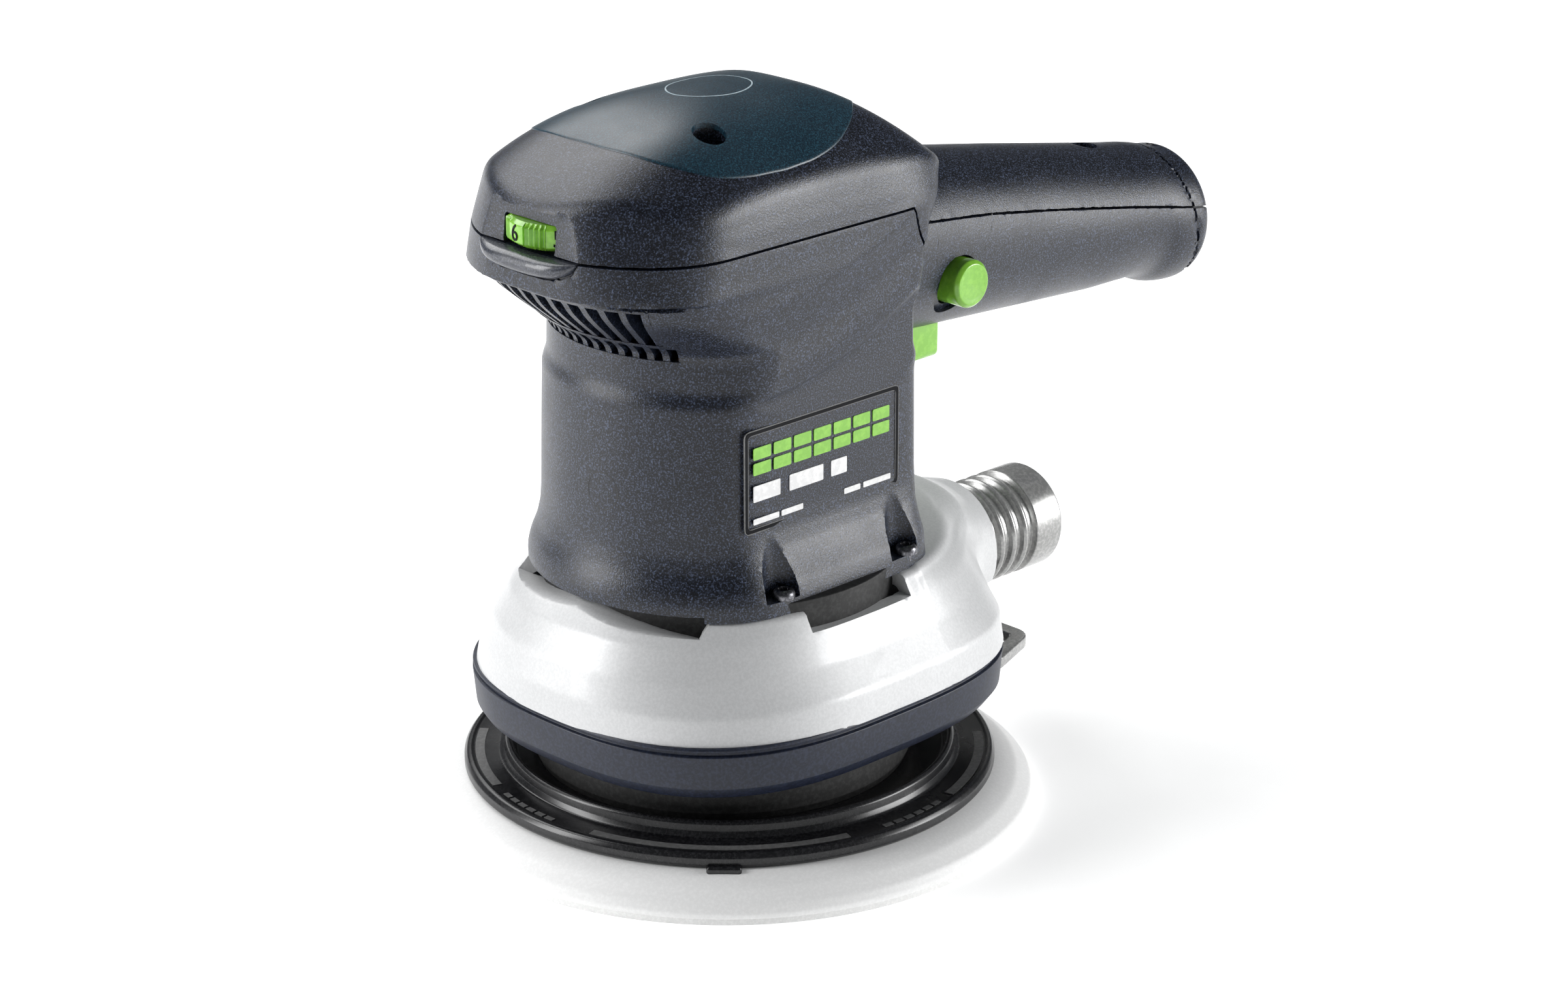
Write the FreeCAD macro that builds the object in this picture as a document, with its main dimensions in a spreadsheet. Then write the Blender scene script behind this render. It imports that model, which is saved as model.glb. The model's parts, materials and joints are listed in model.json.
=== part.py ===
import FreeCAD, Part
import math
import os
import Sketcher
from FreeCAD import Placement, Rotation, Vector

# Random orbital sander with a 150 mm pad, in millimetres.
# Origin: on the motor axis, in the plane of the sanding face. +Z up, +X towards the handle.
# Groups: the pad turns on an eccentric bearing, the rotor spins in the housing, and the
# speed dial, trigger and lock button move in the housing's shells.

document = FreeCAD.newDocument("orbital_sander")
sheet = document.addObject("Spreadsheet::Sheet", "Sizes")

DRIVING_SIZES = {
    # sanding pad
    "orbit_offset": 2.5, "pad_radius": 75, "hook_top": 1.5, "foam_top": 9.5, "foam_top_radius": 66.3,
    "plate_radius": 65.2, "plate_top": 13, "bead_inner": 50, "bead_outer": 53.5, "bead_top": 17,
    "tab_width": 8.3, "tab_low": 7, "tab_reach": 67.2, "tab_turn": -45, "centre_hole": 9,
    "dust_hole": 5, "inner_hole_circle": 38, "outer_hole_circle": 59, "channel_depth": 3,
    "plate_screw_circle": 37, "plate_screw_turn": -122.5, "plate_screw_shank": 2,
    # eccentric drive
    "flange_radius": 20, "flange_top": 16, "journal": 6, "pad_bearing_low": 18.5,
    "pad_bearing_outer": 16, "hub_radius": 19.5, "hub_low": 18, "hub_top": 32, "boss_top": 38,
    "weight_radius": 36, "weight_top": 29, "weight_angle": 130,
    # shaft and motor
    "shaft_radius": 5, "shaft_end_radius": 4, "shaft_top": 146, "core_low": 72, "core_top": 106,
    "core_radius": 19.4, "stator_inner": 20, "stator_outer": 30.5, "commutator_low": 117,
    "commutator_top": 130, "commutator_radius": 12, "fan_disc_top": 58, "cooling_fan_radius": 33,
    "dust_fan_radius": 39, "lower_bearing_low": 46, "lower_bearing_outer": 13,
    "upper_bearing_low": 137, "upper_bearing_outer": 11, "bearing_gap": 0.05,
    # shells
    "wall": 2.6, "skirt_low": 25, "skirt_top": 37.5, "housing_joint": 63.5, "head_seam": 151.5,
    "partition_low": 43.5, "partition_top": 47, "screw_side": 37.5, "screw_front": -15,
    "screw_rear": 25, "duct_height": 44.6,
    # dust port and bag bracket
    "port_rib": 13.7, "port_groove": 12.2, "port_bore": 10.8, "port_start": 74, "port_end": 110,
    "port_collar": 8, "bracket_reach": 79, "bracket_half": 31, "bracket_low": 25.2,
    # controls
    "dial_x": -48, "dial_radius": 13, "dial_low": 152.2, "dial_high": 158.2, "dial_post": 3,
    "lock_x": 64, "lock_z": 122, "lock_radius": 6, "lock_travel": 3,
    "trigger_front": 39.5, "trigger_rear": 69, "trigger_low": 99, "trigger_half": 7,
    "pivot_x": 43, "pivot_z": 109.5, "pin_radius": 1.5,
    # inlet, and how far the motor housing's rear corners reach beyond its round front
    "socket_z": 117, "socket_radius": 13.6, "socket_start": 136, "socket_end": 159.4, "rear_corner": 6,
}

# Plan sections of the motor housing and its cover, from the base up: height, radius of the round
# front, reach of the flat front and rear, half width, and how square the front and rear are.
HEAD_COLUMNS = ("height", "circle", "front", "rear", "side", "front_power", "rear_power")
HEAD_SECTIONS = [
    (63.5, 46.4, 90, 36.5, 41.5, 20, 20),
    (66.0, 46.5, 90, 36.0, 39.6, 20, 20),
    (69.5, 45.9, 90, 35.5, 37.2, 20, 20),
    (77.5, 43.3, 90, 35.0, 35.8, 20, 20),
    (84.0, 42.9, 90, 35.0, 34.0, 20, 20),
    (113.8, 42.1, 90, 35.0, 34.0, 20, 20),
    (117.0, 41.1, 90, 35.0, 34.3, 16, 16),
    (124.8, 41.0, 90, 35.5, 35.4, 12, 14),
    (127.0, 44.5, 80, 35.8, 35.8, 10, 12),
    (130.2, 51.5, 62, 36.0, 36.3, 6, 10),
    (135.6, 80, 59.4, 36.5, 36.8, 3.4, 9),
    (140.0, 500, 60.6, 37.0, 37.0, 3, 8),
    (151.5, 500, 60.8, 39.0, 37.0, 3, 7),
    (158.0, 500, 59.4, 40.0, 36.0, 3, 5),
    (163.0, 500, 54.8, 39.0, 33.6, 3, 4),
    (168.0, 500, 48.7, 36.0, 29.3, 3, 3),
    (172.0, 500, 40.3, 31.0, 23.6, 2.8, 2.6),
    (175.5, 500, 29.5, 23.5, 17.0, 2.5, 2.4),
    (178.0, 500, 17.5, 14.0, 10.8, 2.2, 2.2),
    (179.5, 500, 5.0, 3.0, 3.0, 2, 2),
]
# Plan sections of the fan housing and of the skirt below it.
BASE_COLUMNS = ("height", "front", "rear", "side", "front_power", "rear_power")
FAN_SECTIONS = [
    (37.5, 56.6, 66.0, 55.0, 2.6, 3.2),
    (45.0, 57.2, 65.6, 53.2, 2.5, 3.2),
    (52.0, 55.2, 64.0, 48.6, 2.4, 3.0),
    (58.7, 52.4, 60.0, 44.8, 2.3, 2.8),
    (63.5, 50.0, 56.0, 42.6, 2.2, 2.6),
]
SKIRT_SECTIONS = [
    (25.0, 54.4, 63.0, 52.6, 2.6, 3.2),
    (27.5, 56.2, 65.4, 54.4, 2.6, 3.2),
    (37.5, 56.8, 66.0, 55.0, 2.6, 3.2),
]
# Cross sections of the dust duct and of the handle along +X: distance, centre height, half width,
# half height, and how square they are.
TUBE_COLUMNS = ("along", "centre", "half_width", "half_height", "power")
DUCT_SECTIONS = [
    (34.0, 53.0, 33.0, 14.0, 3.0),
    (52.0, 52.0, 28.0, 16.0, 3.0),
    (65.0, 50.0, 23.0, 17.2, 2.8),
    (74.0, 46.4, 18.6, 16.4, 2.4),
    (81.0, 44.6, 16.4, 16.4, 2.0),
]
HANDLE_SECTIONS = [
    (18.0, 133.4, 25.0, 22.0, 2.6),
    (45.0, 131.2, 22.0, 22.2, 2.4),
    (62.0, 129.8, 20.4, 22.6, 2.2),
    (95.0, 125.8, 18.6, 21.0, 2.1),
    (125.0, 122.1, 18.0, 19.3, 2.0),
    (140.0, 120.6, 17.8, 18.2, 2.0),
    (146.0, 119.6, 17.9, 18.2, 2.0),
    (151.0, 118.2, 18.2, 18.6, 2.0),
    (156.0, 117.1, 18.2, 18.2, 2.0),
    (159.0, 117.0, 17.4, 17.5, 2.0),
    (161.0, 117.0, 15.6, 15.8, 2.0),
]
# Joint line between the motor housing and the top cover, seen from the side: x and z.
SEAM_POINTS = [
    (-80, 151.5), (26, 151.5), (36, 135.6), (41, 138.6), (48, 140.0), (74, 136.8), (100, 132.4), (130, 127),
    (158, 121.5), (190, 115.2),
]


# ---------------------------------------------------------------- sheet

def fill_sheet():
    """Writes every driving size to a named cell, then the section tables, one cell for each number."""
    rows = dict(DRIVING_SIZES)
    tables = (
        ("head", HEAD_COLUMNS, HEAD_SECTIONS), ("fan", BASE_COLUMNS, FAN_SECTIONS),
        ("skirt", BASE_COLUMNS, SKIRT_SECTIONS), ("duct", TUBE_COLUMNS, DUCT_SECTIONS),
        ("handle", TUBE_COLUMNS, HANDLE_SECTIONS), ("seam", ("along", "height"), SEAM_POINTS),
    )
    for name, columns, sections in tables:
        for number, section in enumerate(sections):
            for column, value in zip(columns, section):
                rows[f"{name}_{column}_{number}"] = value
    for row, (alias, value) in enumerate(rows.items(), start=1):
        sheet.set(f"A{row}", alias.replace("_", " "))
        sheet.set(f"B{row}", str(value))
        sheet.setAlias(f"B{row}", alias)
    document.recompute()


def size(name):
    """The number in a named cell."""
    return float(sheet.get(name))


def table(name, columns, count):
    """A section table, read back from the sheet as a list of rows."""
    return [[size(f"{name}_{column}_{number}") for column in columns] for number in range(count)]


def worth(expression):
    """The value of an expression such as Sizes.wall + 1, or of a plain number."""
    return float(sheet.evalExpression(str(expression)))


def bind(thing, **expressions):
    """Binds properties of an object to expressions; double underscores stand for dots."""
    for path, expression in expressions.items():
        thing.setExpression(path.replace("__", "."), str(expression))


def place(thing, x=0, y=0, z=0, turn=None):
    """Binds an object's position, and its turn about Z, to expressions."""
    bind(thing, Placement__Base__x=x, Placement__Base__y=y, Placement__Base__z=z)
    if turn is not None:
        thing.Placement = Placement(thing.Placement.Base, Rotation(Vector(0, 0, 1), 1))
        bind(thing, Placement__Rotation__Angle=turn)


# ---------------------------------------------------------------- PartDesign helpers

def plane(body, role):
    return [feature for feature in body.Origin.OriginFeatures if feature.Role == role][0]


def new_body(label):
    body = document.addObject("PartDesign::Body", label)
    body.Label = label
    return body


def polygon_sketch(body, role, corners):
    """A closed outline of straight lines whose corners are bound to expressions."""
    sketch = body.newObject("Sketcher::SketchObject", f"{body.Name}_outline")
    sketch.AttachmentSupport = [(plane(body, role), "")]
    sketch.MapMode = "FlatFace"
    points = [Vector(worth(across), worth(up), 0) for across, up in corners]
    for start, end in zip(points, points[1:] + points[:1]):
        sketch.addGeometry(Part.LineSegment(start, end), False)
    for line in range(len(points)):
        sketch.addConstraint(Sketcher.Constraint("Coincident", line, 2, (line + 1) % len(points), 1))
    for line, (across, up) in enumerate(corners):
        for kind, axis, expression in (("DistanceX", -2, across), ("DistanceY", -1, up)):
            if worth(expression) == 0:
                sketch.addConstraint(Sketcher.Constraint("PointOnObject", line, 1, axis))
                continue
            constraint = Sketcher.Constraint(kind, -1, 1, line, 1, worth(expression))
            index = sketch.addConstraint(constraint)
            sketch.setExpression(f"Constraints[{index}]", str(expression))
    return sketch


def revolve(label, corners):
    """A body of revolution about Z from an outline of (radius, height) corners."""
    body = new_body(label)
    sketch = polygon_sketch(body, "XZ_Plane", corners)
    turned = body.newObject("PartDesign::Revolution", f"{label}_turned")
    turned.Profile = sketch
    turned.ReferenceAxis = (sketch, ["V_Axis"])
    turned.Angle = 360
    document.recompute()
    return body


def ring(label, inner, outer, low, high):
    """A plain ring between two radii and two heights."""
    return revolve(label, [(inner, low), (outer, low), (outer, high), (inner, high)])


def block_sketch(body, near, far, half):
    """A rectangle on the XY plane from x=near to x=far, half wide on each side of the X axis."""
    corners = [(near, f"-({half})"), (far, f"-({half})"), (far, half), (near, half)]
    return polygon_sketch(body, "XY_Plane", corners)


def hole_sketch(body, distance, radius):
    """A circle on the X axis of the XY plane."""
    sketch = body.newObject("Sketcher::SketchObject", f"{body.Name}_holes")
    sketch.AttachmentSupport = [(plane(body, "XY_Plane"), "")]
    sketch.MapMode = "FlatFace"
    centre = Vector(worth(distance), 0, 0)
    sketch.addGeometry(Part.Circle(centre, Vector(0, 0, 1), worth(radius)), False)
    index = sketch.addConstraint(Sketcher.Constraint("Radius", 0, worth(radius)))
    sketch.setExpression(f"Constraints[{index}]", str(radius))
    index = sketch.addConstraint(Sketcher.Constraint("DistanceX", -1, 1, 0, 3, worth(distance)))
    sketch.setExpression(f"Constraints[{index}]", str(distance))
    sketch.addConstraint(Sketcher.Constraint("PointOnObject", 0, 3, -1))
    return sketch


def raise_sketch(sketch, height):
    bind(sketch, AttachmentOffset__Base__z=height)


def repeat(body, feature, sketch, count):
    """Repeats a feature evenly about the sketch's normal."""
    pattern = body.newObject("PartDesign::PolarPattern", f"{feature.Name}_pattern")
    pattern.Originals = [feature]
    pattern.Axis = (sketch, ["N_Axis"])
    pattern.Angle = 360
    pattern.Occurrences = count
    body.Tip = pattern
    document.recompute()
    return pattern


def cut_pattern(body, sketch, low, depth, count):
    """Cuts a sketch upwards from a height, repeats it about Z, and checks that it removed metal."""
    before = body.Shape.Volume
    raise_sketch(sketch, low)
    pocket = body.newObject("PartDesign::Pocket", f"{body.Name}_cut")
    pocket.Profile = sketch
    pocket.Type = "Length"
    pocket.Reversed = True
    bind(pocket, Length=depth)
    document.recompute()
    repeat(body, pocket, sketch, count)
    if body.Shape.Volume > before - 1e-3:
        raise RuntimeError(f"{body.Label}: the cut removed nothing")


def add_pattern(body, sketch, low, height, count):
    """Pads a sketch upwards from a height and repeats it about Z."""
    raise_sketch(sketch, low)
    pad = body.newObject("PartDesign::Pad", f"{body.Name}_blade")
    pad.Profile = sketch
    bind(pad, Length=height)
    document.recompute()
    repeat(body, pad, sketch, count)


# ---------------------------------------------------------------- Part helpers

def cylinder(name, radius, height, x=0, y=0, z=0, angle=None):
    made = document.addObject("Part::Cylinder", name)
    bind(made, Radius=radius, Height=height)
    place(made, x, y, z)
    if angle is not None:
        bind(made, Angle=angle)
    return made


def box(name, low, high):
    """A box between two corners given as expressions."""
    made = document.addObject("Part::Box", name)
    bind(made, Length=f"({high[0]}) - ({low[0]})", Width=f"({high[1]}) - ({low[1]})")
    bind(made, Height=f"({high[2]}) - ({low[2]})")
    place(made, *low)
    return made


def fuse(name, *members):
    made = document.addObject("Part::MultiFuse", name)
    made.Shapes = list(members)
    return made


def cut(name, base, tool):
    made = document.addObject("Part::Cut", name)
    made.Base = base
    made.Tool = tool
    return made


def part_feature(label, shape, placement=Placement()):
    """A piece whose shape is made with Part's own functions from sizes read from the sheet."""
    made = document.addObject("Part::Feature", label)
    made.Label = label
    made.Shape = shape
    made.Placement = placement
    return made


def solid_cylinder(radius, start, end):
    axis = Vector(*end) - Vector(*start)
    return Part.makeCylinder(radius, axis.Length, Vector(*start), axis)


def solid_box(low, high):
    low = Vector(*low)
    span = Vector(*high) - low
    return Part.makeBox(span.x, span.y, span.z, low)


# ---------------------------------------------------------------- shell surfaces

SECTION_POINTS = 48


def smooth_loop(points):
    curve = Part.BSplineCurve()
    curve.interpolate(points, PeriodicFlag=True)
    return Part.Wire(curve.toShape())


def plan_radius(angle, circle, front, rear, side, front_power, rear_power):
    """Distance from the axis to a rounded outline bounded by circles, two ends and two sides."""
    across, along = abs(math.sin(angle)), math.cos(angle)
    if along < 0:
        end, power, corner = front, front_power, circle
    else:
        end, power, corner = rear, rear_power, circle + size("rear_corner")
    total = (1 / corner) ** power + (across / side) ** power + (abs(along) / end) ** power
    return total ** (-1 / power)


def plan_loop(height, circle, front, rear, side, front_power, rear_power, inset=0):
    points = []
    for step in range(SECTION_POINTS):
        angle = 2 * math.pi * step / SECTION_POINTS
        limits = (circle - inset, front - inset, rear - inset, max(side - inset, 0.5))
        reach = plan_radius(angle, *limits, front_power, rear_power)
        points.append(Vector(reach * math.cos(angle), reach * math.sin(angle), height))
    return smooth_loop(points)


def head_solid(inset, low, high):
    """The motor housing and its cover as one solid, drawn in by a wall thickness."""
    rows = table("head", HEAD_COLUMNS, len(HEAD_SECTIONS))
    roof = rows[-1][0]
    loops = []
    for row in rows:
        height, reach = row[0], row[1:]
        smallest = min(reach[1], reach[2], reach[3])
        if smallest - inset < 2:
            continue
        drop = inset * max(0.0, (height - size("head_seam")) / (roof - size("head_seam")))
        loops.append(plan_loop(height - drop, *reach, inset=inset))
    solid = Part.makeLoft(loops, True, True)
    return solid.common(solid_box((-90, -90, low), (90, 90, high)))


def base_solid(name, count, inset, low, high):
    """The fan housing or the skirt as one solid, drawn in by a wall thickness."""
    rows = table(name, BASE_COLUMNS, count)
    wide = 500
    loops = [plan_loop(row[0], wide, *row[1:], inset=inset) for row in rows]
    solid = Part.makeLoft(loops, True, True)
    return solid.common(solid_box((-90, -90, low), (90, 90, high)))


def tube_solid(name, count, inset):
    """The duct or the handle as one solid along X, drawn in by a wall thickness."""
    loops = []
    for along, centre, half_width, half_height, power in table(name, TUBE_COLUMNS, count):
        points = []
        for step in range(SECTION_POINTS):
            angle = 2 * math.pi * step / SECTION_POINTS
            across, up = abs(math.cos(angle)), abs(math.sin(angle))
            total = (across / (half_width - inset)) ** power + (up / (half_height - inset)) ** power
            reach = total ** (-1 / power)
            points.append(Vector(along, reach * math.cos(angle), centre + reach * math.sin(angle)))
        loops.append(smooth_loop(points))
    return Part.makeLoft(loops, True, True)


def above_seam():
    """Everything above the joint line of the two main shells."""
    line = [Vector(x, -90, z) for x, z in table("seam", ("along", "height"), len(SEAM_POINTS))]
    corners = line + [Vector(line[-1].x, -90, 220), Vector(line[0].x, -90, 220)]
    face = Part.Face(Part.makePolygon(corners + corners[:1]))
    return face.extrude(Vector(0, 180, 0))


# ---------------------------------------------------------------- sanding pad

def make_pad():
    turn = "Sizes.tab_turn"
    holes = (("Sizes.inner_hole_circle", "Sizes.dust_hole"), ("Sizes.outer_hole_circle", "Sizes.dust_hole"))

    hook = ring("pad_hook_face", "Sizes.centre_hole", "Sizes.pad_radius - 0.3", 0, "Sizes.hook_top")
    for distance, radius in holes:
        cut_pattern(hook, hole_sketch(hook, distance, radius), -1, 10, 8)

    foam = revolve("pad_foam", [
        ("Sizes.centre_hole", "Sizes.hook_top"), ("Sizes.pad_radius - 0.3", "Sizes.hook_top"),
        ("Sizes.pad_radius", "Sizes.hook_top + 0.7"), ("Sizes.foam_top_radius", "Sizes.foam_top"),
        ("Sizes.centre_hole", "Sizes.foam_top"),
    ])
    for distance, radius in holes:
        cut_pattern(foam, hole_sketch(foam, distance, radius), 0, 20, 8)
    channel = block_sketch(foam, "Sizes.inner_hole_circle", "Sizes.outer_hole_circle", "Sizes.dust_hole - 1.5")
    cut_pattern(foam, channel, "Sizes.foam_top - Sizes.channel_depth", 10, 8)
    notch = block_sketch(foam, "Sizes.plate_radius - 3.2", "Sizes.pad_radius + 5", "Sizes.tab_width / 2 + 0.1")
    cut_pattern(foam, notch, "Sizes.tab_low - 0.1", 10, 4)

    plate = revolve("pad_plate", [
        (4.4, "Sizes.foam_top"), ("Sizes.plate_radius - 0.8", "Sizes.foam_top"),
        ("Sizes.plate_radius", "Sizes.foam_top + 0.9"), ("Sizes.plate_radius", "Sizes.plate_top - 1"),
        ("Sizes.plate_radius - 1", "Sizes.plate_top"), ("Sizes.bead_outer", "Sizes.plate_top"),
        ("Sizes.bead_outer", "Sizes.bead_top - 1"), ("Sizes.bead_outer - 1", "Sizes.bead_top"),
        ("Sizes.bead_inner + 0.8", "Sizes.bead_top"), ("Sizes.bead_inner", "Sizes.bead_top - 1"),
        ("Sizes.bead_inner", "Sizes.plate_top"), (4.4, "Sizes.plate_top"),
    ])
    cut_pattern(plate, hole_sketch(plate, "Sizes.inner_hole_circle", "Sizes.dust_hole"), 5, 10, 8)
    tab = block_sketch(plate, "Sizes.plate_radius - 3", "Sizes.tab_reach", "Sizes.tab_width / 2")
    add_pattern(plate, tab, "Sizes.tab_low", "Sizes.foam_top - Sizes.tab_low + 1", 4)
    screw_place = hole_sketch(plate, "Sizes.plate_screw_circle", "Sizes.plate_screw_shank + 0.1")
    screw_turn = "Sizes.plate_screw_turn - Sizes.tab_turn"
    bind(screw_place, AttachmentOffset__Rotation__Angle=screw_turn)
    cut_pattern(plate, screw_place, 5, 10, 4)

    for body in (hook, foam, plate):
        place(body, "Sizes.orbit_offset", turn=turn)

    screws = []
    for quarter in range(4):
        shank = cylinder(f"plate_shank_{quarter}", "Sizes.plate_screw_shank", 3.2, z="Sizes.plate_top - 3.2")
        head = document.addObject("Part::Cone", f"plate_head_{quarter}")
        bind(head, Radius1=3.7, Radius2=2.6, Height=2.0)
        place(head, z="Sizes.plate_top")
        slot = box(f"plate_slot_{quarter}", (-0.6, -2, "Sizes.plate_top + 1"), (0.6, 2, "Sizes.plate_top + 3"))
        screw = cut(f"plate_screw_{quarter}", fuse(f"plate_blank_{quarter}", shank, head), slot)
        bearing = f"(Sizes.plate_screw_turn + {90 * quarter}) * 1deg"
        place(
            screw, f"Sizes.orbit_offset + Sizes.plate_screw_circle * cos({bearing})",
            f"Sizes.plate_screw_circle * sin({bearing})",
        )
        screws.append(screw)
    fuse("pad_plate_screws", *screws)

    spindle = revolve("pad_spindle", [
        (4, "Sizes.plate_top"), ("Sizes.flange_radius", "Sizes.plate_top"),
        ("Sizes.flange_radius", "Sizes.flange_top - 0.6"), ("Sizes.flange_radius - 0.6", "Sizes.flange_top"),
        (8, "Sizes.flange_top"), (8, "Sizes.pad_bearing_low"), ("Sizes.journal", "Sizes.pad_bearing_low"),
        ("Sizes.journal", "Sizes.pad_bearing_low + 9.8"), (4, "Sizes.pad_bearing_low + 9.8"),
    ])
    screw = revolve("pad_screw", [
        (3, "Sizes.foam_top - 5"), (7, "Sizes.foam_top - 5"), (7.5, "Sizes.foam_top - 4.5"),
        (7.5, "Sizes.foam_top"), (3.9, "Sizes.foam_top"), (3.9, "Sizes.pad_bearing_low + 7"),
        (0, "Sizes.pad_bearing_low + 7"), (0, "Sizes.foam_top - 2"), (3, "Sizes.foam_top - 2"),
    ])
    for body in (spindle, screw):
        place(body, "Sizes.orbit_offset")


def make_bearing(prefix, parts, bore, outer, low, width, x=0):
    """A deep-groove ball bearing: inner ring, balls and outer ring as three pieces."""
    middle = f"(({bore}) + ({outer})) / 2"
    ball = f"(({outer}) - ({bore})) * 0.28"
    half_gap = f"(({outer}) - ({bore})) * 0.14"
    centre = f"({low}) + ({width}) / 2"
    rings = {"inner": (bore, f"{middle} - {half_gap}"), "outer": (f"{middle} + {half_gap}", outer)}
    for side, (inside, outside) in rings.items():
        blank = cut(
            f"{prefix}_{side}_blank",
            cylinder(f"{prefix}_{side}_disc", outside, width, x, 0, low),
            cylinder(f"{prefix}_{side}_hole", inside, f"({width}) + 2", x, 0, f"({low}) - 1"),
        )
        groove = document.addObject("Part::Torus", f"{prefix}_{side}_groove")
        bind(groove, Radius1=middle, Radius2=f"{ball} + Sizes.bearing_gap")
        place(groove, x, 0, centre)
        cut(parts[side], blank, groove)
    balls = []
    count = 8
    for step in range(count):
        made = document.addObject("Part::Sphere", f"{prefix}_ball_{step}")
        bind(made, Radius=ball)
        bearing = f"{360 * step / count} * 1deg"
        place(made, f"({x}) + {middle} * cos({bearing})", f"{middle} * sin({bearing})", centre)
        balls.append(made)
    fuse(parts["balls"], *balls)


# ---------------------------------------------------------------- rotor

def make_rotor():
    revolve("armature_shaft", [
        (0, "Sizes.hub_top"), ("Sizes.shaft_radius", "Sizes.hub_top"),
        ("Sizes.shaft_radius", "Sizes.upper_bearing_low - 1"), (5.6, "Sizes.upper_bearing_low - 1"),
        (5.6, "Sizes.upper_bearing_low"), ("Sizes.shaft_end_radius", "Sizes.upper_bearing_low"),
        ("Sizes.shaft_end_radius", "Sizes.shaft_top - 0.5"),
        ("Sizes.shaft_end_radius - 0.5", "Sizes.shaft_top"), (0, "Sizes.shaft_top"),
    ])
    hub_blank = fuse(
        "hub_blank",
        cylinder(
            "hub_drum", "Sizes.hub_radius", "Sizes.hub_top - Sizes.hub_low", "Sizes.orbit_offset", 0,
            "Sizes.hub_low",
        ),
        cylinder("hub_boss", 9, "Sizes.boss_top - Sizes.hub_top", z="Sizes.hub_top"),
    )
    hub_holes = fuse(
        "hub_holes",
        cylinder("hub_pocket", "Sizes.pad_bearing_outer", 10.5, "Sizes.orbit_offset", 0, "Sizes.hub_low"),
        cylinder("hub_relief", 14, 12, "Sizes.orbit_offset", 0, "Sizes.hub_low"),
        cylinder("hub_bore", "Sizes.shaft_radius", 20, z="Sizes.hub_top"),
    )
    cut("eccentric_hub", hub_blank, hub_holes)

    sector = cylinder(
        "weight_sector", "Sizes.weight_radius", "Sizes.weight_top - Sizes.hub_low - 1.5",
        z="Sizes.hub_low + 1.5", angle="Sizes.weight_angle",
    )
    place(sector, z="Sizes.hub_low + 1.5", turn="180 - Sizes.weight_angle / 2")
    cut("counterweight", sector, cylinder("weight_seat", "Sizes.hub_radius", 40, "Sizes.orbit_offset"))

    dust_fan = ring(
        "dust_fan", "Sizes.shaft_radius", "Sizes.dust_fan_radius", "Sizes.boss_top", "Sizes.boss_top + 2",
    )
    blade = block_sketch(dust_fan, 22, "Sizes.dust_fan_radius", 0.9)
    add_pattern(dust_fan, blade, "Sizes.hub_top + 0.5", "Sizes.boss_top - Sizes.hub_top", 12)

    fan_low = "Sizes.fan_disc_top - 2"
    fan = revolve("cooling_fan", [
        ("Sizes.shaft_radius", fan_low), ("Sizes.cooling_fan_radius", fan_low),
        ("Sizes.cooling_fan_radius", "Sizes.fan_disc_top"), (9, "Sizes.fan_disc_top"),
        (9, "Sizes.fan_disc_top + 8"), ("Sizes.shaft_radius", "Sizes.fan_disc_top + 8"),
    ])
    blade = block_sketch(fan, 14, "Sizes.cooling_fan_radius", 0.9)
    add_pattern(fan, blade, "Sizes.fan_disc_top - 0.5", 7.5, 16)

    core = ring("armature_core", "Sizes.shaft_radius", "Sizes.core_radius", "Sizes.core_low", "Sizes.core_top")
    slot = block_sketch(core, 11.9, "Sizes.core_radius + 1", 1.6)
    cut_pattern(core, slot, "Sizes.core_low - 1", 60, 12)

    bells = revolve("armature_windings", [
        (5.5, "Sizes.core_low - 6"), (14, "Sizes.core_low - 6"), (18, "Sizes.core_low - 3"),
        (18.4, "Sizes.core_low"), (5.5, "Sizes.core_low"),
    ])
    turns = block_sketch(bells, 12.2, "Sizes.core_radius - 1.5", 1.5)
    add_pattern(bells, turns, "Sizes.core_low - 1", "Sizes.core_top - Sizes.core_low + 2", 12)
    top_bell = polygon_sketch(bells, "XZ_Plane", [
        (5.5, "Sizes.core_top"), (18.4, "Sizes.core_top"), (18, "Sizes.core_top + 3"),
        (13, "Sizes.core_top + 8"), (5.5, "Sizes.core_top + 8"),
    ])
    turned = bells.newObject("PartDesign::Revolution", "armature_windings_top")
    turned.Profile = top_bell
    turned.ReferenceAxis = (top_bell, ["V_Axis"])
    turned.Angle = 360
    bells.Tip = turned

    bars = ring(
        "commutator", "Sizes.shaft_radius", "Sizes.commutator_radius", "Sizes.commutator_low", "Sizes.commutator_top",
    )
    gap = block_sketch(bars, "Sizes.commutator_radius - 1", "Sizes.commutator_radius + 1", 0.2)
    cut_pattern(bars, gap, "Sizes.commutator_low - 1", 20, 24)


# ---------------------------------------------------------------- motor and drive housing inside

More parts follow.
